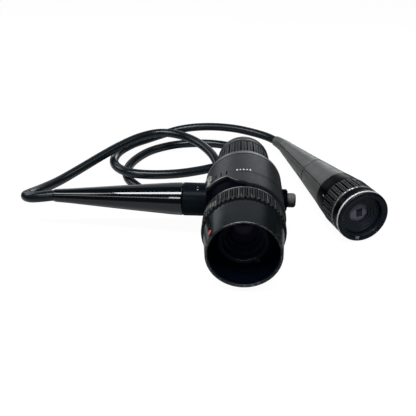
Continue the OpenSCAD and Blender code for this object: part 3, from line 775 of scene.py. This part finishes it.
def shell():
    """The shell as one closed skin whose front follows front_edge."""
    segments = 720
    head_end, tail_start = SHELL_HEAD[-1][1], SHELL_BACK - SHELL_TAIL[0][1]
    row_slots = [row[2] for row in SHELL_HEAD] + [0] * len(SHELL_OUTSIDE)
    row_slots += [row[2] for row in SHELL_TAIL] + [0] * len(SHELL_INSIDE)
    verts, slots = [], []
    for j, th in enumerate(even_angles(segments)):
        front = front_edge(th)
        start = front + head_end
        column = [(SHELL_R - depth, front + s) for depth, s, _ in SHELL_HEAD]
        column += [(SHELL_R, start + (tail_start - start) * t) for t in SHELL_OUTSIDE]
        column += [(SHELL_R - depth, SHELL_BACK - s) for depth, s, _ in SHELL_TAIL]
        column += [(SHELL_BORE, front + (SHELL_BACK - front) * t) for t in SHELL_INSIDE]
        verts += [MAIN.at(r, th, s) for r, s in column]
        edge = edge_slot(360.0 * (j + 0.5) / segments)
        slots += [edge if slot == 1 else slot for slot in row_slots]
    return add_mesh("shell", verts, ring_faces(segments, len(row_slots), closed=True),
                    ["shell", "shell_edge", "seam", "shell_band", "shell_edge_dim"], slots, 36)


put(shell(), "main_unit", "body_shell")


def shell_mark(name, angles, span, mat, thick, grid):
    put(patch(name, MAIN, lambda s: SHELL_R, angles, span, mat, thick, grid), "main_unit")


MARK_HALF_ANGLE = 0.017

# three thin strips of painted shade, standing for grooves behind the cut edge: degrees, front, back
for i, (degrees, front, back) in enumerate(
        ((115.5, 51.6, 58.4), (124.5, 53.4, 60.2), (133.5, 55.4, 62.2))):
    th = math.radians(degrees)
    shell_mark(f"shell_groove_shade_{i}", (th - MARK_HALF_ANGLE, th + MARK_HALF_ANGLE), (front, back),
               "grip_gap", thick=0.03, grid=(2, 6))

# a row of white ticks across the top, every second one shorter
for i in range(5):
    th = math.radians(100.5 - 4.5 * i)
    inset = (i % 2) * 0.3
    shell_mark(f"shell_tick_{i}", (th - MARK_HALF_ANGLE, th + MARK_HALF_ANGLE),
               (54.2 + inset, 56.4 - inset), "white", thick=0.03, grid=(2, 4))

# two turned lines across the top: y, first and last degree, material
for i, (y, first, last, mat) in enumerate(
        ((51.6, 20, 96, "seam"), (48.9, 34, 76, "line_soft"))):
    shell_mark(f"shell_line_{i}", (math.radians(first), math.radians(last)),
               (y - 0.42, y + 0.42), mat, thick=0.02, grid=(60, 3))

# Section of the rim round the arm root: distance from the arm's axis, height over the shell, slot
ARM_RIM = [
    (15.35, -0.12, 0), (15.35, 0.55, 1), (15.7, 0.9, 1), (16.4, 0.95, 1), (17.7, 0.95, 1),
    (18.2, 0.7, 2), (19.4, 0.45, 2), (20.0, 0.2, 2), (20.0, -0.12, 0)]


def arm_rim():
    """Worn raised rim that follows the shell's curve, open to the front."""
    steps = 96
    half_sweep = math.radians(117)
    verts = []
    for j in range(steps + 1):
        th = -half_sweep + 2 * half_sweep * j / steps
        for r, height, _ in ARM_RIM:
            z = r * math.sin(th)
            x = -math.sqrt((SHELL_R + height) ** 2 - z * z)
            verts.append((x, ARM_Y + r * math.cos(th), z))
    slots = [row[2] for row in ARM_RIM] * steps + [0, 0]
    return add_mesh("arm_rim", verts, ring_faces(steps + 1, len(ARM_RIM), closed=False),
                    ["rimworn", "flange_hi", "rimworn"], slots, 40)


put(arm_rim(), "main_unit", "side_port_flange")

BEZEL = [
    (22.05, 88), (31, 88), (31, 94.6), (29.8, 96.4, 0.5), (27.6, 97.55, 0.4), (22.05, 97.55)]
put(lathe("bezel", BEZEL, MAIN, ["inner"], segments=128),
    "main_unit", "rear_bezel")

# ------------------------------------------------------------------ side arm and boot

SIDE_ARM = [
    (8.5, 31.0), (14.1, 31.0), (14.1, 50.0, 0.5), (13.75, 50.65), (11.5, 50.65), (11.5, 44.4),
    (8.5, 44.4)]
put(lathe("side_arm", SIDE_ARM, ARM, ["arm"], segments=128),
    "main_unit", "side_arm_collar")

GRUB_SCREW = [
    (0, 13.0), (0.75, 13.0, 0.22, 0, 1), (0.9, 14.05, 0.22, 1), (1.35, 14.1, 0.2, 1),
    (1.62, 13.9), (1.62, 11.7), (0, 11.7)]
for i in range(3):
    th = math.radians(22 + 120 * i)
    screw_axis = Axis((-38.3, ARM_Y, 0), (0, -math.sin(th), math.cos(th)), X)
    put(lathe(f"grub_{i}", GRUB_SCREW, screw_axis, ["screw", "steel"], segments=36),
        "main_unit", "grub_screws" if i == 0 else None)

BOOT_A = [
    (2.1, 44.8), (11.45, 44.8), (11.45, 50.85), (13.3, 50.88, 0.3), (13.9, 51.6, 0.4),
    (13.6, 60.0, 3), (9.9, 108.0, 18), (6.3, 150.0, 12), (5.65, 160.4, 0.6), (5.4, 162.0, 0.2),
    (5.05, 162.0, 0.1), (4.76, 150.0), (4.76, 140.0), (2.1, 140.0)]
put(lathe("boot_a_skin", BOOT_A, ARM, ["boot_a"], segments=128),
    "main_unit", "boot_a")

# ------------------------------------------------------------------ selector on the right

# Section of the seating disc: distance from the knob's axis, x (None: on the shell)
SELECTOR_SEAT = [
    (4.4, None), (4.4, 36.2), (4.7, 36.3), (8.8, 36.3), (9.15, 36.15), (9.3, 35.8), (9.3, None)]


def selector_seat():
    """Seating disc whose inner face follows the shell."""
    segments = 96
    verts = []
    for th in even_angles(segments):
        for r, x in SELECTOR_SEAT:
            if x is None:
                x = math.sqrt((SHELL_R + 0.02) ** 2 - (r * math.sin(th)) ** 2)
            verts.append(KNOB.at(r, th, x))
    faces = ring_faces(segments, len(SELECTOR_SEAT), closed=True)
    return add_mesh("selector_seat", verts, faces, ["neck"], sharp=36)


put(selector_seat(), "main_unit", "selector_plate")

SEAT_SCREW = [
    (0, 35.0), (0.9, 35.0), (0.9, 36.36), (1.5, 36.36), (1.5, 36.9, 0.35), (1.0, 37.5, 0.35),
    (0, 37.55)]
put(lathe("seat_screw", SEAT_SCREW, Axis((0, 74.5, 4.3), X, Y), ["neck"], segments=36),
    "main_unit", "plate_screw")


def knob_radius(r, th, tag):
    """Forty shallow flutes round the knob's side."""
    return r - 0.16 * (0.5 - 0.5 * math.cos(th * 40)) if tag == 1 else r


KNOB_OUTLINE = [
    (0, 36.5), (5.7, 36.5), (6.15, 36.95, 0.3), (6.15, 37.6), (5.95, 37.8),
    (6.12, 38.1, 0.15, 0, 0, 1), (6.12, 41.9, 0.2, 0, 0, 1), (5.9, 42.6, 0.7),
    (5.1, 43.75, 0.8), (0, 43.9)]
put(lathe("knob", KNOB_OUTLINE, KNOB, ["knob"], segments=240, radius=knob_radius, sharp=45),
    "selector_body", "selector_knob")


def knob_line():
    """White line on the knob's end face, from near its centre upwards."""
    half, low, high = 0.28, 0.8, 4.6
    left, right = KNOB_Y - half, KNOB_Y + half
    verts = []
    for x_low, x_high in ((43.86, 43.86), (43.98, 43.93)):
        verts += [(x_low, left, low), (x_low, right, low),
                  (x_high, right, high), (x_high, left, high)]
    faces = [(0, 1, 2, 3), (4, 7, 6, 5), (0, 4, 5, 1), (1, 5, 6, 2), (2, 6, 7, 3), (3, 7, 4, 0)]
    return add_mesh("knob_line_0", verts, faces, ["white"], sharp=30)


put(knob_line(), "selector_body")

# ------------------------------------------------------------------ grip rings and eyecup


def grip_cuts(depth, fine, lead, wide=0.0):
    """Radius and paint functions of a grip: 28 deep slots, with four fine ribs between two.

    depth and fine are the cuts' depths, lead turns the pattern by a part of its pitch, and
    wide widens the painted shade beside each slot and leaves out its painted-highlight edge. The
    grip's first four slots are the ground between ribs, the ribs, the gaps of painted shade and
    the slots' edges of painted highlight.
    """
    between, rib, gap, edge = range(4)

    def phase(th):
        return (th / TAU * 28 + lead) % 1.0

    def fine_phase(ph):
        return (ph - 0.20) / 0.80 * 4.0

    def radius(r, th, tag):
        if tag != 1:
            return r
        ph = phase(th)
        if ph < 0.20:
            return r - depth * (1 - smooth_step(abs(ph - 0.10), 0.055, 0.10))
        return r - fine * smooth_step(abs(fine_phase(ph) % 1.0 - 0.5), 0.28, 0.46)

    def paint(slot, th, s, r):
        if slot != "ribs":
            return slot
        ph = phase(th)
        # the slots, widened by wide, are painted shade
        if ph < 0.190 + wide or ph > 1.0 - wide * 1.4:
            return gap
        # the edges beside the slots get the painted highlight
        if wide == 0.0 and (ph < 0.225 or ph > 0.965):
            return edge
        w = fine_phase(ph)
        if abs(w - 2.0) < 0.26 + wide * 3:
            return gap
        return rib if abs(w % 1.0 - 0.5) < 0.27 else between

    return {"radius": radius, "paint": paint, "segments": 1120, "sharp": 38}


GRIP_A = [
    (22.05, 98.05), (24.6, 98.05), (25.85, 98.9, 0.3), (25.9, 100.0), (25.4, 100.4),
    (26.2, 100.9, 0.3, "ribs", None, 1), (25.75, 118.0, 0.0, "ribs", None, 1),
    (25.2, 136.9, 0.3, 0, 0, 1), (24.7, 137.6), (25.1, 138.1, 0.2), (25.15, 142.2, 0.3),
    (24.7, 142.9, 0.2), (24.3, 143.0), (18.0, 143.0), (18.0, 128.4), (22.05, 128.4)]
put(lathe("grip_a", GRIP_A, MAIN, ["grip", "grip_mid", "grip_gap", "grip_tip"],
          **grip_cuts(depth=1.25, fine=0.30, lead=0.6)),
    "focus_a_body", "focus_ring_a")

EYECUP = [
    (14.5, 129), (17.96, 129), (17.96, 143.06), (24.3, 143.06), (24.8, 143.5, 0.2, 1),
    (24.75, 144.3, 0.1), (24.4, 147.1, 0.1), (24.75, 147.4, 0.1, 1), (24.75, 148.1, 0.1, 0, 1),
    (24.3, 148.5, 0.1), (24.1, 151.8, 0.6), (23.4, 153.4, 0.5), (22.4, 153.98, 0.4),
    (18.6, 153.98, 0.6), (14.5, 138)]
put(lathe("rear_cup", EYECUP, MAIN, ["grip", "edge_line"], segments=144),
    "focus_a_body", "eyecup_a")
put(dome("rear_lens", MAIN, "eye", radius=15.95, edge=114.8, apex=118.0, back=110.1),
    "lens_a_body", "eye_lens_a")

# ------------------------------------------------------------------ second viewer

FACE_RING = [
    (17.25, -1.5, 0.2, 0, 1), (17.7, -2.7, 0.2, 0, 1), (18.4, -3.0, 0.1), (18.55, -2.85, 0.05),
    (18.75, -3.05, 0.1), (20.6, -3.58, 0.4), (21.9, -3.3, 0.4), (22.5, -2.6, 0.3),
    (22.5, -1.08), (21.9, -1.08), (21.9, 2.4), (18.5, 2.4), (18.5, 4.9), (17.25, 4.9)]
put(lathe("face_b", FACE_RING, VIEW, ["face", "inner_lip"], segments=160),
    "focus_b_body", "face_ring_b")

BRIGHT_RIM = [
    (21.93, -0.98, 0.22, 1), (22.35, -1.0, 0.12, 1), (22.76, -0.7, 0.16, 1), (22.8, 0.35, 0.1),
    (22.8, 2.0, 0.2), (22.4, 2.38), (21.93, 2.38)]
put(lathe("rim_b", BRIGHT_RIM, VIEW, ["collar_b", "bright"], segments=240),
    "focus_b_body", "bright_rim_b")

GRIP_B = [
    (18.53, 2.5), (21.5, 2.5), (21.8, 2.9), (21.8, 9.0, 0.3), (22.2, 9.2, 0.22, 3),
    (22.7, 9.7, 0.1, 3), (22.7, 10.5, 0.1, 0, 3), (22.2, 10.9), (22.0, 11.3),
    (22.6, 11.8, 0.3, "ribs", None, 1), (22.6, 20.0, 0.0, "ribs", None, 1),
    (22.55, 27.6, 0.3, 0, 0, 1), (21.9, 28.1), (22.0, 28.5), (21.9, 29.4), (19.05, 29.4),
    (19.05, 5.1), (18.53, 5.1)]
put(lathe("grip_b", GRIP_B, VIEW, ["collar_b", "rib_b", "grip_gap", "edge_line", "grip_tip"],
          **grip_cuts(depth=1.15, fine=0.34, lead=0.3, wide=0.05)),
    "focus_b_body", "focus_ring_b")

INDEX_BAND = [
    (19.05, 29.65), (21.9, 29.65), (22.0, 30.2, 0.2), (21.9, 31.6, 0.4), (20.55, 44.6, 0.2),
    (20.3, 45.0), (19.05, 45.0)]
put(lathe("index_band", INDEX_BAND, VIEW, ["cone"], segments=144),
    "viewer_body", "index_cone_b")


def face_tab():
    """A small block with a bevelled front, standing on the face ring near its bottom."""
    th = math.radians(-100.4)
    inner, outer, half_width = 17.95, 20.45, 1.6
    front, back, bevel = -3.7, -2.9, 0.25
    outward = VIEW.u * math.cos(th) + VIEW.v * math.sin(th)
    across = -VIEW.u * math.sin(th) + VIEW.v * math.cos(th)
    verts = []
    for s, inset in ((back, 0.0), (front + bevel, 0.0), (front, bevel)):
        low, high, half = inner + inset, outer - inset, half_width - inset
        for x, y in ((low, -half), (high, -half), (high, half), (low, half)):
            verts.append(VIEW.at(0, 0, s) + outward * x + across * y)
    faces = ring_faces(3, 4, closed=False)[:8] + [(0, 1, 2, 3), (8, 9, 10, 11)]
    return add_mesh("tab_b", verts, faces, ["tab"], sharp=30)


put(face_tab(), "focus_b_body", "face_tab_b")

# Handle and boot are one moulded taper with a seam round it and a parting line on two sides
PARTING_ANGLES = (math.radians(149.5), math.radians(149.5) + math.pi)


def parting_offset(r, th):
    """Distance round the surface to the nearer parting line."""
    return r * min(angle_between(th, line) for line in PARTING_ANGLES)


def parting_radius(r, th, tag):
    """Groove along the parting lines, for tag 1 (handle) or 2 (boot)."""
    if not tag:
        return r
    half, depth = (0.34, 0.32) if tag == 2 else (0.26, 0.2)
    offset = parting_offset(r, th)
    return r - depth * (1 - (offset / half) ** 2) if offset < half else r


def parting_paint(slot, th, s, r):
    if slot != "parting":
        return slot
    return 1 if parting_offset(r, th) < 0.32 else 0


# even angles, packed closer at the parting lines
taper_angles = [th for th in even_angles(128) if parting_offset(1, th) >= 0.034]
taper_angles += [(line + k * 0.0066) % TAU for line in PARTING_ANGLES for k in range(-5, 6)]
taper_angles.sort()

HANDLE = [
    (16.05, 45.1), (19.9, 45.1), (20.3, 45.6, 0.3, "parting", None, 1),
    (18.6, 60.0, 6, "parting", None, 1), (16.6, 80.0, 6, "parting", None, 1),
    (15.36, 91.9, 0.05, 1, 1, 1), (15.25, 93.0, 0.15, 1, 1, 1), (14.8, 93.6, 0.1, 1),
    (14.6, 93.85, 0.1, 1), (9.0, 93.85), (9.0, 56.0), (16.05, 56.0)]
put(lathe("handle", HANDLE, VIEW, ["viewer", "seam"], radius=parting_radius,
          paint=parting_paint, angles=taper_angles, sharp=36),
    "viewer_body", "handle_b")

# ------------------------------------------------------------------ cable

# Two places on the route near which the cable changes from body to body
BEND_START, BEND_END = (8, 266, -13.5), (26, 258, -15.5)
# Points (x, y, z) that the cable passes through, from the arm to the second viewer
ROUTE = [
    (-140, ARM_Y, 0), (-152, ARM_Y, 0), (-163, ARM_Y, 0), (-174, 64.8, -1.2),
    (-184.5, 67.5, -3.5), (-192, 75.5, -6.5), (-194, 88, -11), (-190.5, 111, -17),
    (-182, 135, -20), (-168, 159, -18), (-152, 182, -14), (-135, 204, -10), (-116, 224, -7),
    (-95, 236, -6), (-72, 233, -7), (-49, 213, -8), (-31, 182, -10), (-24.5, 158, -17),
    (-29, 134, -25), (-43, 114, -28.7), (-64, 107, -28.8), (-87, 118, -28.8),
    (-105, 142, -28.8), (-118, 160, -28.8), (-124, 181, -28.8), (-121, 207, -28.8),
    (-108, 235, -28.8), (-86, 254, -28.8), (-63, 262, -28.8), (-36, 263, -28.8),
    (-12, 255, -28.8), (5, 238, -28.5), (7, 214, -27), (-8, 193, -24), (-28, 180, -22),
    (-46, 170, -22), (-69, 159, -21), (-94, 152, -19.2), (-115, 153, -18), (-131, 168, -19),
    (-140, 193, -21.8), (-139, 219, -23), (-128, 245, -24), (-112, 263, -24), (-97, 273, -22),
    (-79, 282, -19), (-58, 284, -16), (-34, 280, -13.5), (-11, 273, -12.5),
    BEND_START, BEND_END, (38.6, 247.4, -17.2),
    *(VIEW.at(0, 0, s) for s in (180, 169, 158, 149))]


def spline(points, steps):
    """Smooth curve through the points, with steps pieces between two of them."""
    points = [np.array(p, float) for p in points]
    q = [2 * points[0] - points[1], *points, 2 * points[-1] - points[-2]]
    curve = []
    for a, b, c, d in zip(q, q[1:], q[2:], q[3:]):
        for k in range(steps):
            t = k / steps
            curve.append(0.5 * (2 * b + (c - a) * t + (2 * a - 5 * b + 4 * c - d) * t * t
                                + (3 * b - a - 3 * c + d) * t ** 3))
    curve.append(points[-1])
    return np.array(curve)


def resample(curve, step):
    """Points at even distances along a curve."""
    done = np.r_[0, np.cumsum(np.linalg.norm(np.diff(curve, axis=0), axis=1))]
    count = max(2, int(round(done[-1] / step)))
    places = np.linspace(0, done[-1], count + 1)
    return np.stack([np.interp(places, done, curve[:, k]) for k in range(3)], 1)


def unit_rows(rows):
    return rows / np.linalg.norm(rows, axis=1)[:, None]


PATH_STEP = 1.5
PATH = resample(spline(ROUTE, steps=24), PATH_STEP)
# soften the small kinks that straight resampling leaves
for _ in range(3):
    PATH[1:-1] = (PATH[:-2] + 2 * PATH[1:-1] + PATH[2:]) / 4
PATH_ALONG = unit_rows(np.gradient(PATH, axis=0))
PATH_SIDE = unit_rows(np.cross(PATH_ALONG, Z))
PATH_UP = np.cross(PATH_SIDE, PATH_ALONG)


def nearest(point):
    """Index of the path point nearest to a place."""
    return int(np.argmin(np.linalg.norm(PATH - np.array(point), axis=1)))


def sweep(name, stations, angles, mats, sharp):
    """Capped round body through stations (centre, side, up, radius, parting tag)."""
    verts = [centre + parting_radius(r, th, tag) * (math.cos(th) * side + math.sin(th) * up)
             for centre, side, up, r, tag in stations for th in angles]
    slots = []
    for here, there in zip(stations, stations[1:]):
        slot = "parting" if here[4] and there[4] else 0
        slots += [parting_paint(slot, th, 0, here[3]) for th in mid_angles(angles)]
    faces = ring_faces(len(stations), len(angles), closed=False)
    return add_mesh(name, verts, faces, mats, slots + [0, 0], sharp)


def cable(name, first, last):
    """The cable between two path points."""
    stations = [(PATH[i], PATH_SIDE[i], PATH_UP[i], CABLE_R, 0) for i in range(first, last + 1)]
    return sweep(name, stations, even_angles(28), ["cable"], sharp=40)


def cable_bend(name, first, last, node=None):
    """A stretch of cable between two bodies, fixed to neither."""
    ob = cable(name, first, last)
    if node:
        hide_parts(node)
    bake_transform(ob)


bend_mid = (nearest(BEND_START) + nearest(BEND_END)) // 2
loop_end, tail_start = nearest(BEND_START) - 10, nearest(BEND_END) + 9
put(cable("cable_run", 0, loop_end), "main_unit", "cable_loop")
cable_bend("cable_bend_1", loop_end, bend_mid, "cable_mid")
cable_bend("cable_bend_2", bend_mid, tail_start)
put(cable("cable_end", tail_start, len(PATH) - 1), "viewer_body", "cable_tail")

# ------------------------------------------------------------------ second viewer's boot

# Places along the viewer's axis, and the boot's radius there
BOOT_B_PLACES = [94.0, 115.0, 140.0, 165.0, 180.0, 196.0]
BOOT_B_RADII = [15.05, 13.0, 10.7, 8.35, 7.0, 5.75]
BOOT_B_ROOT = [(94.06, 9.05), (94.06, 14.4), (94.3, 14.65), (94.75, 15.0), (95.4, 15.02)]


def boot_b_stations():
    """Stations (centre, side, up, radius) along the viewer's axis, then along the cable."""
    def radius(s):
        return float(np.interp(s, BOOT_B_PLACES, BOOT_B_RADII))

    straight = BOOT_B_ROOT + [(s, radius(s)) for s in range(98, 160, 3)]
    stations = [(VIEW.at(0, 0, s), VIEW_RIGHT, VIEW_UP, r) for s, r in straight]
    k = nearest(VIEW.at(0, 0, 162))
    for s in np.arange(162.0, 195.5, PATH_STEP):
        along = -PATH_ALONG[k]
        # keep the side directions continuous with the viewer's own
        side = VIEW_RIGHT - along * (VIEW_RIGHT @ along)
        side /= np.linalg.norm(side)
        stations.append((PATH[k], side, np.cross(side, along), radius(s)))
        k -= 1
    centre, side, up, r = stations[-1]
    for reach, end_r in ((0.7, r - 0.25), (1.0, r - 0.7), (1.0, 4.6)):
        stations.append((centre - PATH_ALONG[k] * reach, side, up, end_r))
    return stations


stations = boot_b_stations()
stations = [(*station, 2 if 3 <= j < len(stations) - 6 else 0)
            for j, station in enumerate(stations)]
put(sweep("boot_b_skin", stations, taper_angles, ["viewer", "seam"], sharp=36),
    "viewer_body", "boot_b")

# cream index mark on the black band, at the left of the viewer
th = math.radians(162)
put(patch("index_cream", VIEW, lambda s: 22.0 - (s - 30.2) * 0.1, (th - 0.030, th + 0.030),
          (30.4, 33.2), "cream", thick=0.12, grid=(4, 6)),
    "viewer_body", "index_dot_b")

# ------------------------------------------------------------------ second viewer's eye lens

# stepped black rings round the small eye lens
LENS_TUBE = [
    (8.55, 4.7, 0.12, 0, 1), (10.6, 4.7, 0.05), (10.8, 3.8, 0.14, 0, 1), (12.9, 3.8, 0.05),
    (13.1, 2.8, 0.14, 0, 1), (15.1, 2.8, 0.05), (15.3, 1.8, 0.14, 0, 1), (16.95, 1.8, 0.1),
    (16.95, 24.0), (13.2, 24.0), (13.2, 12.0), (7.8, 10.5), (7.8, 8.4), (8.55, 8.4)]
put(lathe("lens_tube_b", LENS_TUBE, VIEW, ["face_step", "inner_lip"], segments=120),
    "lens_b_body", "lens_cell_b")


def eye_with_image():
    """Bluish grey lens with the dark, slightly turned image of an oblong fibre end in it."""
    material, graph, shader = principled("eye_lens_with_image")
    turn = math.radians(8)
    shift, soft_edge = 0.2, 0.45
    across = math.cos(turn) * VIEW_RIGHT + math.sin(turn) * VIEW_UP
    upward = math.cos(turn) * VIEW_UP - math.sin(turn) * VIEW_RIGHT
    bands = []
    for direction, half in ((across, 2.6), (upward, 3.5)):
        from_axis = graph.vector_math("SUBTRACT", graph.coords, tuple(VIEW_FACE * MM))[0]
        # the dot product with a direction times 1000 is a distance in mm
        distance = graph.vector_math("DOT_PRODUCT", from_axis, tuple(direction * 1000))["Value"]
        distance = graph.math("ABSOLUTE", graph.math("SUBTRACT", distance, shift))
        bands.append(graph.remap(distance, (half, half + soft_edge), (1.0, 0.0)))
    cloud = graph.remap(graph.noise(260.0, 4), (0.35, 0.7))
    body = graph.mix(cloud, (0.148, 0.156, 0.205), (0.192, 0.202, 0.258))
    graph.fill(shader, {
        "Base Color": graph.mix(graph.multiply(*bands), body, (0.0095, 0.0100, 0.0135)),
        "Roughness": 0.16, "Specular IOR Level": 0.35, "Specular Tint": (0.85, 0.9, 1.0)})
    return material


MATERIALS["eye_b"] = eye_with_image()
put(dome("eye_glass_b", VIEW, "eye_b", radius=8.5, edge=6.6, apex=4.5, back=8.35),
    "lens_b_body", "eye_lens_b")

# ------------------------------------------------------------------ finish of the CAD nodes kept

NODE_FINISH = {
    "steel": ("claw_top", "claw_left", "claw_right", "selector_shaft", "ferrule_a", "ferrule_b"),
    "inner": ("prism_cage", "relay_cell", "eyepiece_barrel_a", "field_stop_a", "lens_cell_a",
              "eyepiece_barrel_b"),
    "prism": ("prism_front", "prism_rear"),
    "eye": ("relay_lens",),
    "bundle": ("fibre_bundle_a",),
    "fibre": ("fibre_bundle_b",),
    "grey_disc": ("field_stop_b",),
}
for key, node_names in NODE_FINISH.items():
    for node_name in node_names:
        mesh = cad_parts[node_name].data
        mesh.materials.clear()
        mesh.materials.append(MATERIALS[key])
        mesh.polygons.foreach_set("material_index", [0] * len(mesh.polygons))

# ------------------------------------------------------------------ stage, in metres


def floor_material():
    """The camera sees a nearly shadowless pale floor, all else mirrors a much darker one."""
    material = bpy.data.materials.new("floor_pale")
    material.use_nodes = True
    graph = Graph(material.node_tree)
    matt = graph.tree.nodes["Principled BSDF"]
    graph.fill(matt, {"Base Color": (0.90, 0.90, 0.90), "Roughness": 0.9,
                      "Specular IOR Level": 0.05})
    glow = graph.node("Emission", {0: (1, 1, 1), 1: 1.06})
    seen = graph.mix_shader(0.90, matt.outputs[0], glow.outputs[0])
    # the mirrored floor is pale near the product, most of all towards the back
    place = graph.node("NewGeometry").outputs["Position"]
    distance = graph.vector_math("DISTANCE", place, (-0.03, 0.07, FLOOR_Z))["Value"]
    fade = graph.remap(distance, (0.17, 0.31), interpolation_type="SMOOTHSTEP")
    place_y = graph.node("SeparateXYZ", {0: place}).outputs[1]
    behind = graph.remap(place_y, (0.04, 0.10))
    pale = graph.mix(behind, (0.33, 0.34, 0.35), (0.56, 0.57, 0.58))
    color = graph.mix(fade, pale, (0.035, 0.038, 0.042))
    mirrored = graph.node("BsdfDiffuse", {0: color}).outputs[0]
    graph.finish(graph.mix_shader(graph.camera_ray(), mirrored, seen))
    return material


def add_floor():
    corners = [(x, y, FLOOR_Z) for x, y in ((-6, -4), (6, -4), (6, 9), (-6, 9))]
    mesh = bpy.data.meshes.new("floor")
    mesh.from_pydata(corners, [], [(0, 1, 2, 3)])
    ob = bpy.data.objects.new("floor", mesh)
    scene.collection.objects.link(ob)
    mesh.materials.append(floor_material())


add_floor()

# Area lights: name, place, point aimed at, width, height, power in watts.
# The panels hang high in front and the front strips lower and further forward.
LIGHTS = [
    ("top_panel", (-0.04, -0.54, 1.45), (-0.05, 0.06, 0), 1.38, 0.38, 23.5),
    ("end_panel", (-1.13, -0.54, 1.45), (-0.7, 0.06, 0), 0.74, 0.38, 4.4),
    ("front_strip", (-0.35, -1.44, 0.98), (-0.1, 0.06, 0), 0.36, 0.3, 2.6),
    ("front_long", (-0.97, -1.44, 0.98), (-0.3, 0.06, 0), 0.85, 0.15, 1.1),
    ("left_soft", (-1.5, 0.75, 0.75), (0, 0.1, 0), 0.8, 0.7, 3.2),
    ("right_soft", (1.2, 0.5, 1.5), (0.05, 0.1, 0), 0.7, 0.6, 2.4),
]
for name, place, target, width, height, power in LIGHTS:
    light = bpy.data.lights.new(name, "AREA")
    light.shape = "RECTANGLE"
    light.size = width
    light.size_y = height
    light.energy = power
    ob = bpy.data.objects.new(name, light)
    ob.location = place
    aim = Vector(target) - Vector(place)
    ob.rotation_euler = aim.to_track_quat("-Z", "Y").to_euler()
    scene.collection.objects.link(ob)

# Soft glows behind the product: direction, cosines where a glow starts and is full, strength
GLOWS = [
    ((0.0, 0.86, 0.51), (0.80, 0.93), 0.33),
    ((-0.47, 0.88, 0.05), (0.925, 0.99), 0.88),
    ((0.16, 0.985, 0.0), (0.962, 0.99), 2.4),
]


def add_world():
    """A dim room with glows, which the camera sees as plain white."""
    world = bpy.data.worlds.new("studio")
    scene.world = world
    world.use_nodes = True
    graph = Graph(world.node_tree)
    graph.texture_coords("Generated")
    glows = []
    for direction, limits, strength in GLOWS:
        direction = tuple(Vector(direction).normalized())
        cosine = graph.vector_math("DOT_PRODUCT", graph.coords, direction)["Value"]
        glows.append(graph.remap(cosine, limits, (0.0, strength),
                                 interpolation_type="SMOOTHSTEP"))
    total = glows[0]
    for more in (*glows[1:], 0.030):
        total = graph.math("ADD", total, more)
    room = graph.tree.nodes["Background"]
    graph.fill(room, {"Color": (0.93, 0.97, 1.0), "Strength": total})
    white = graph.node("Background", {"Color": (1, 1, 1), "Strength": 0.98})
    graph.finish(graph.mix_shader(graph.camera_ray(), room.outputs[0], white.outputs[0]))


add_world()


def add_camera():
    """Looks down from the front."""
    camera = bpy.data.cameras.new("camera")
    camera.sensor_width = 36
    camera.lens = 45.0
    camera.clip_start = 0.01
    camera.clip_end = 50
    ob = bpy.data.objects.new("camera", camera)
    scene.collection.objects.link(ob)
    forward = Vector((-0.049, 0.8736, -0.4842)).normalized()
    right = Vector((0.9984, 0.0562, 0.0)).normalized()
    up = right.cross(forward).normalized()
    right = forward.cross(up).normalized()
    turn = Matrix((right, up, -forward)).transposed().to_4x4()
    ob.matrix_world = Matrix.Translation(Vector((-0.00818, -0.32362, 0.20736))) @ turn
    scene.camera = ob


add_camera()
scene.view_settings.view_transform = "Standard"
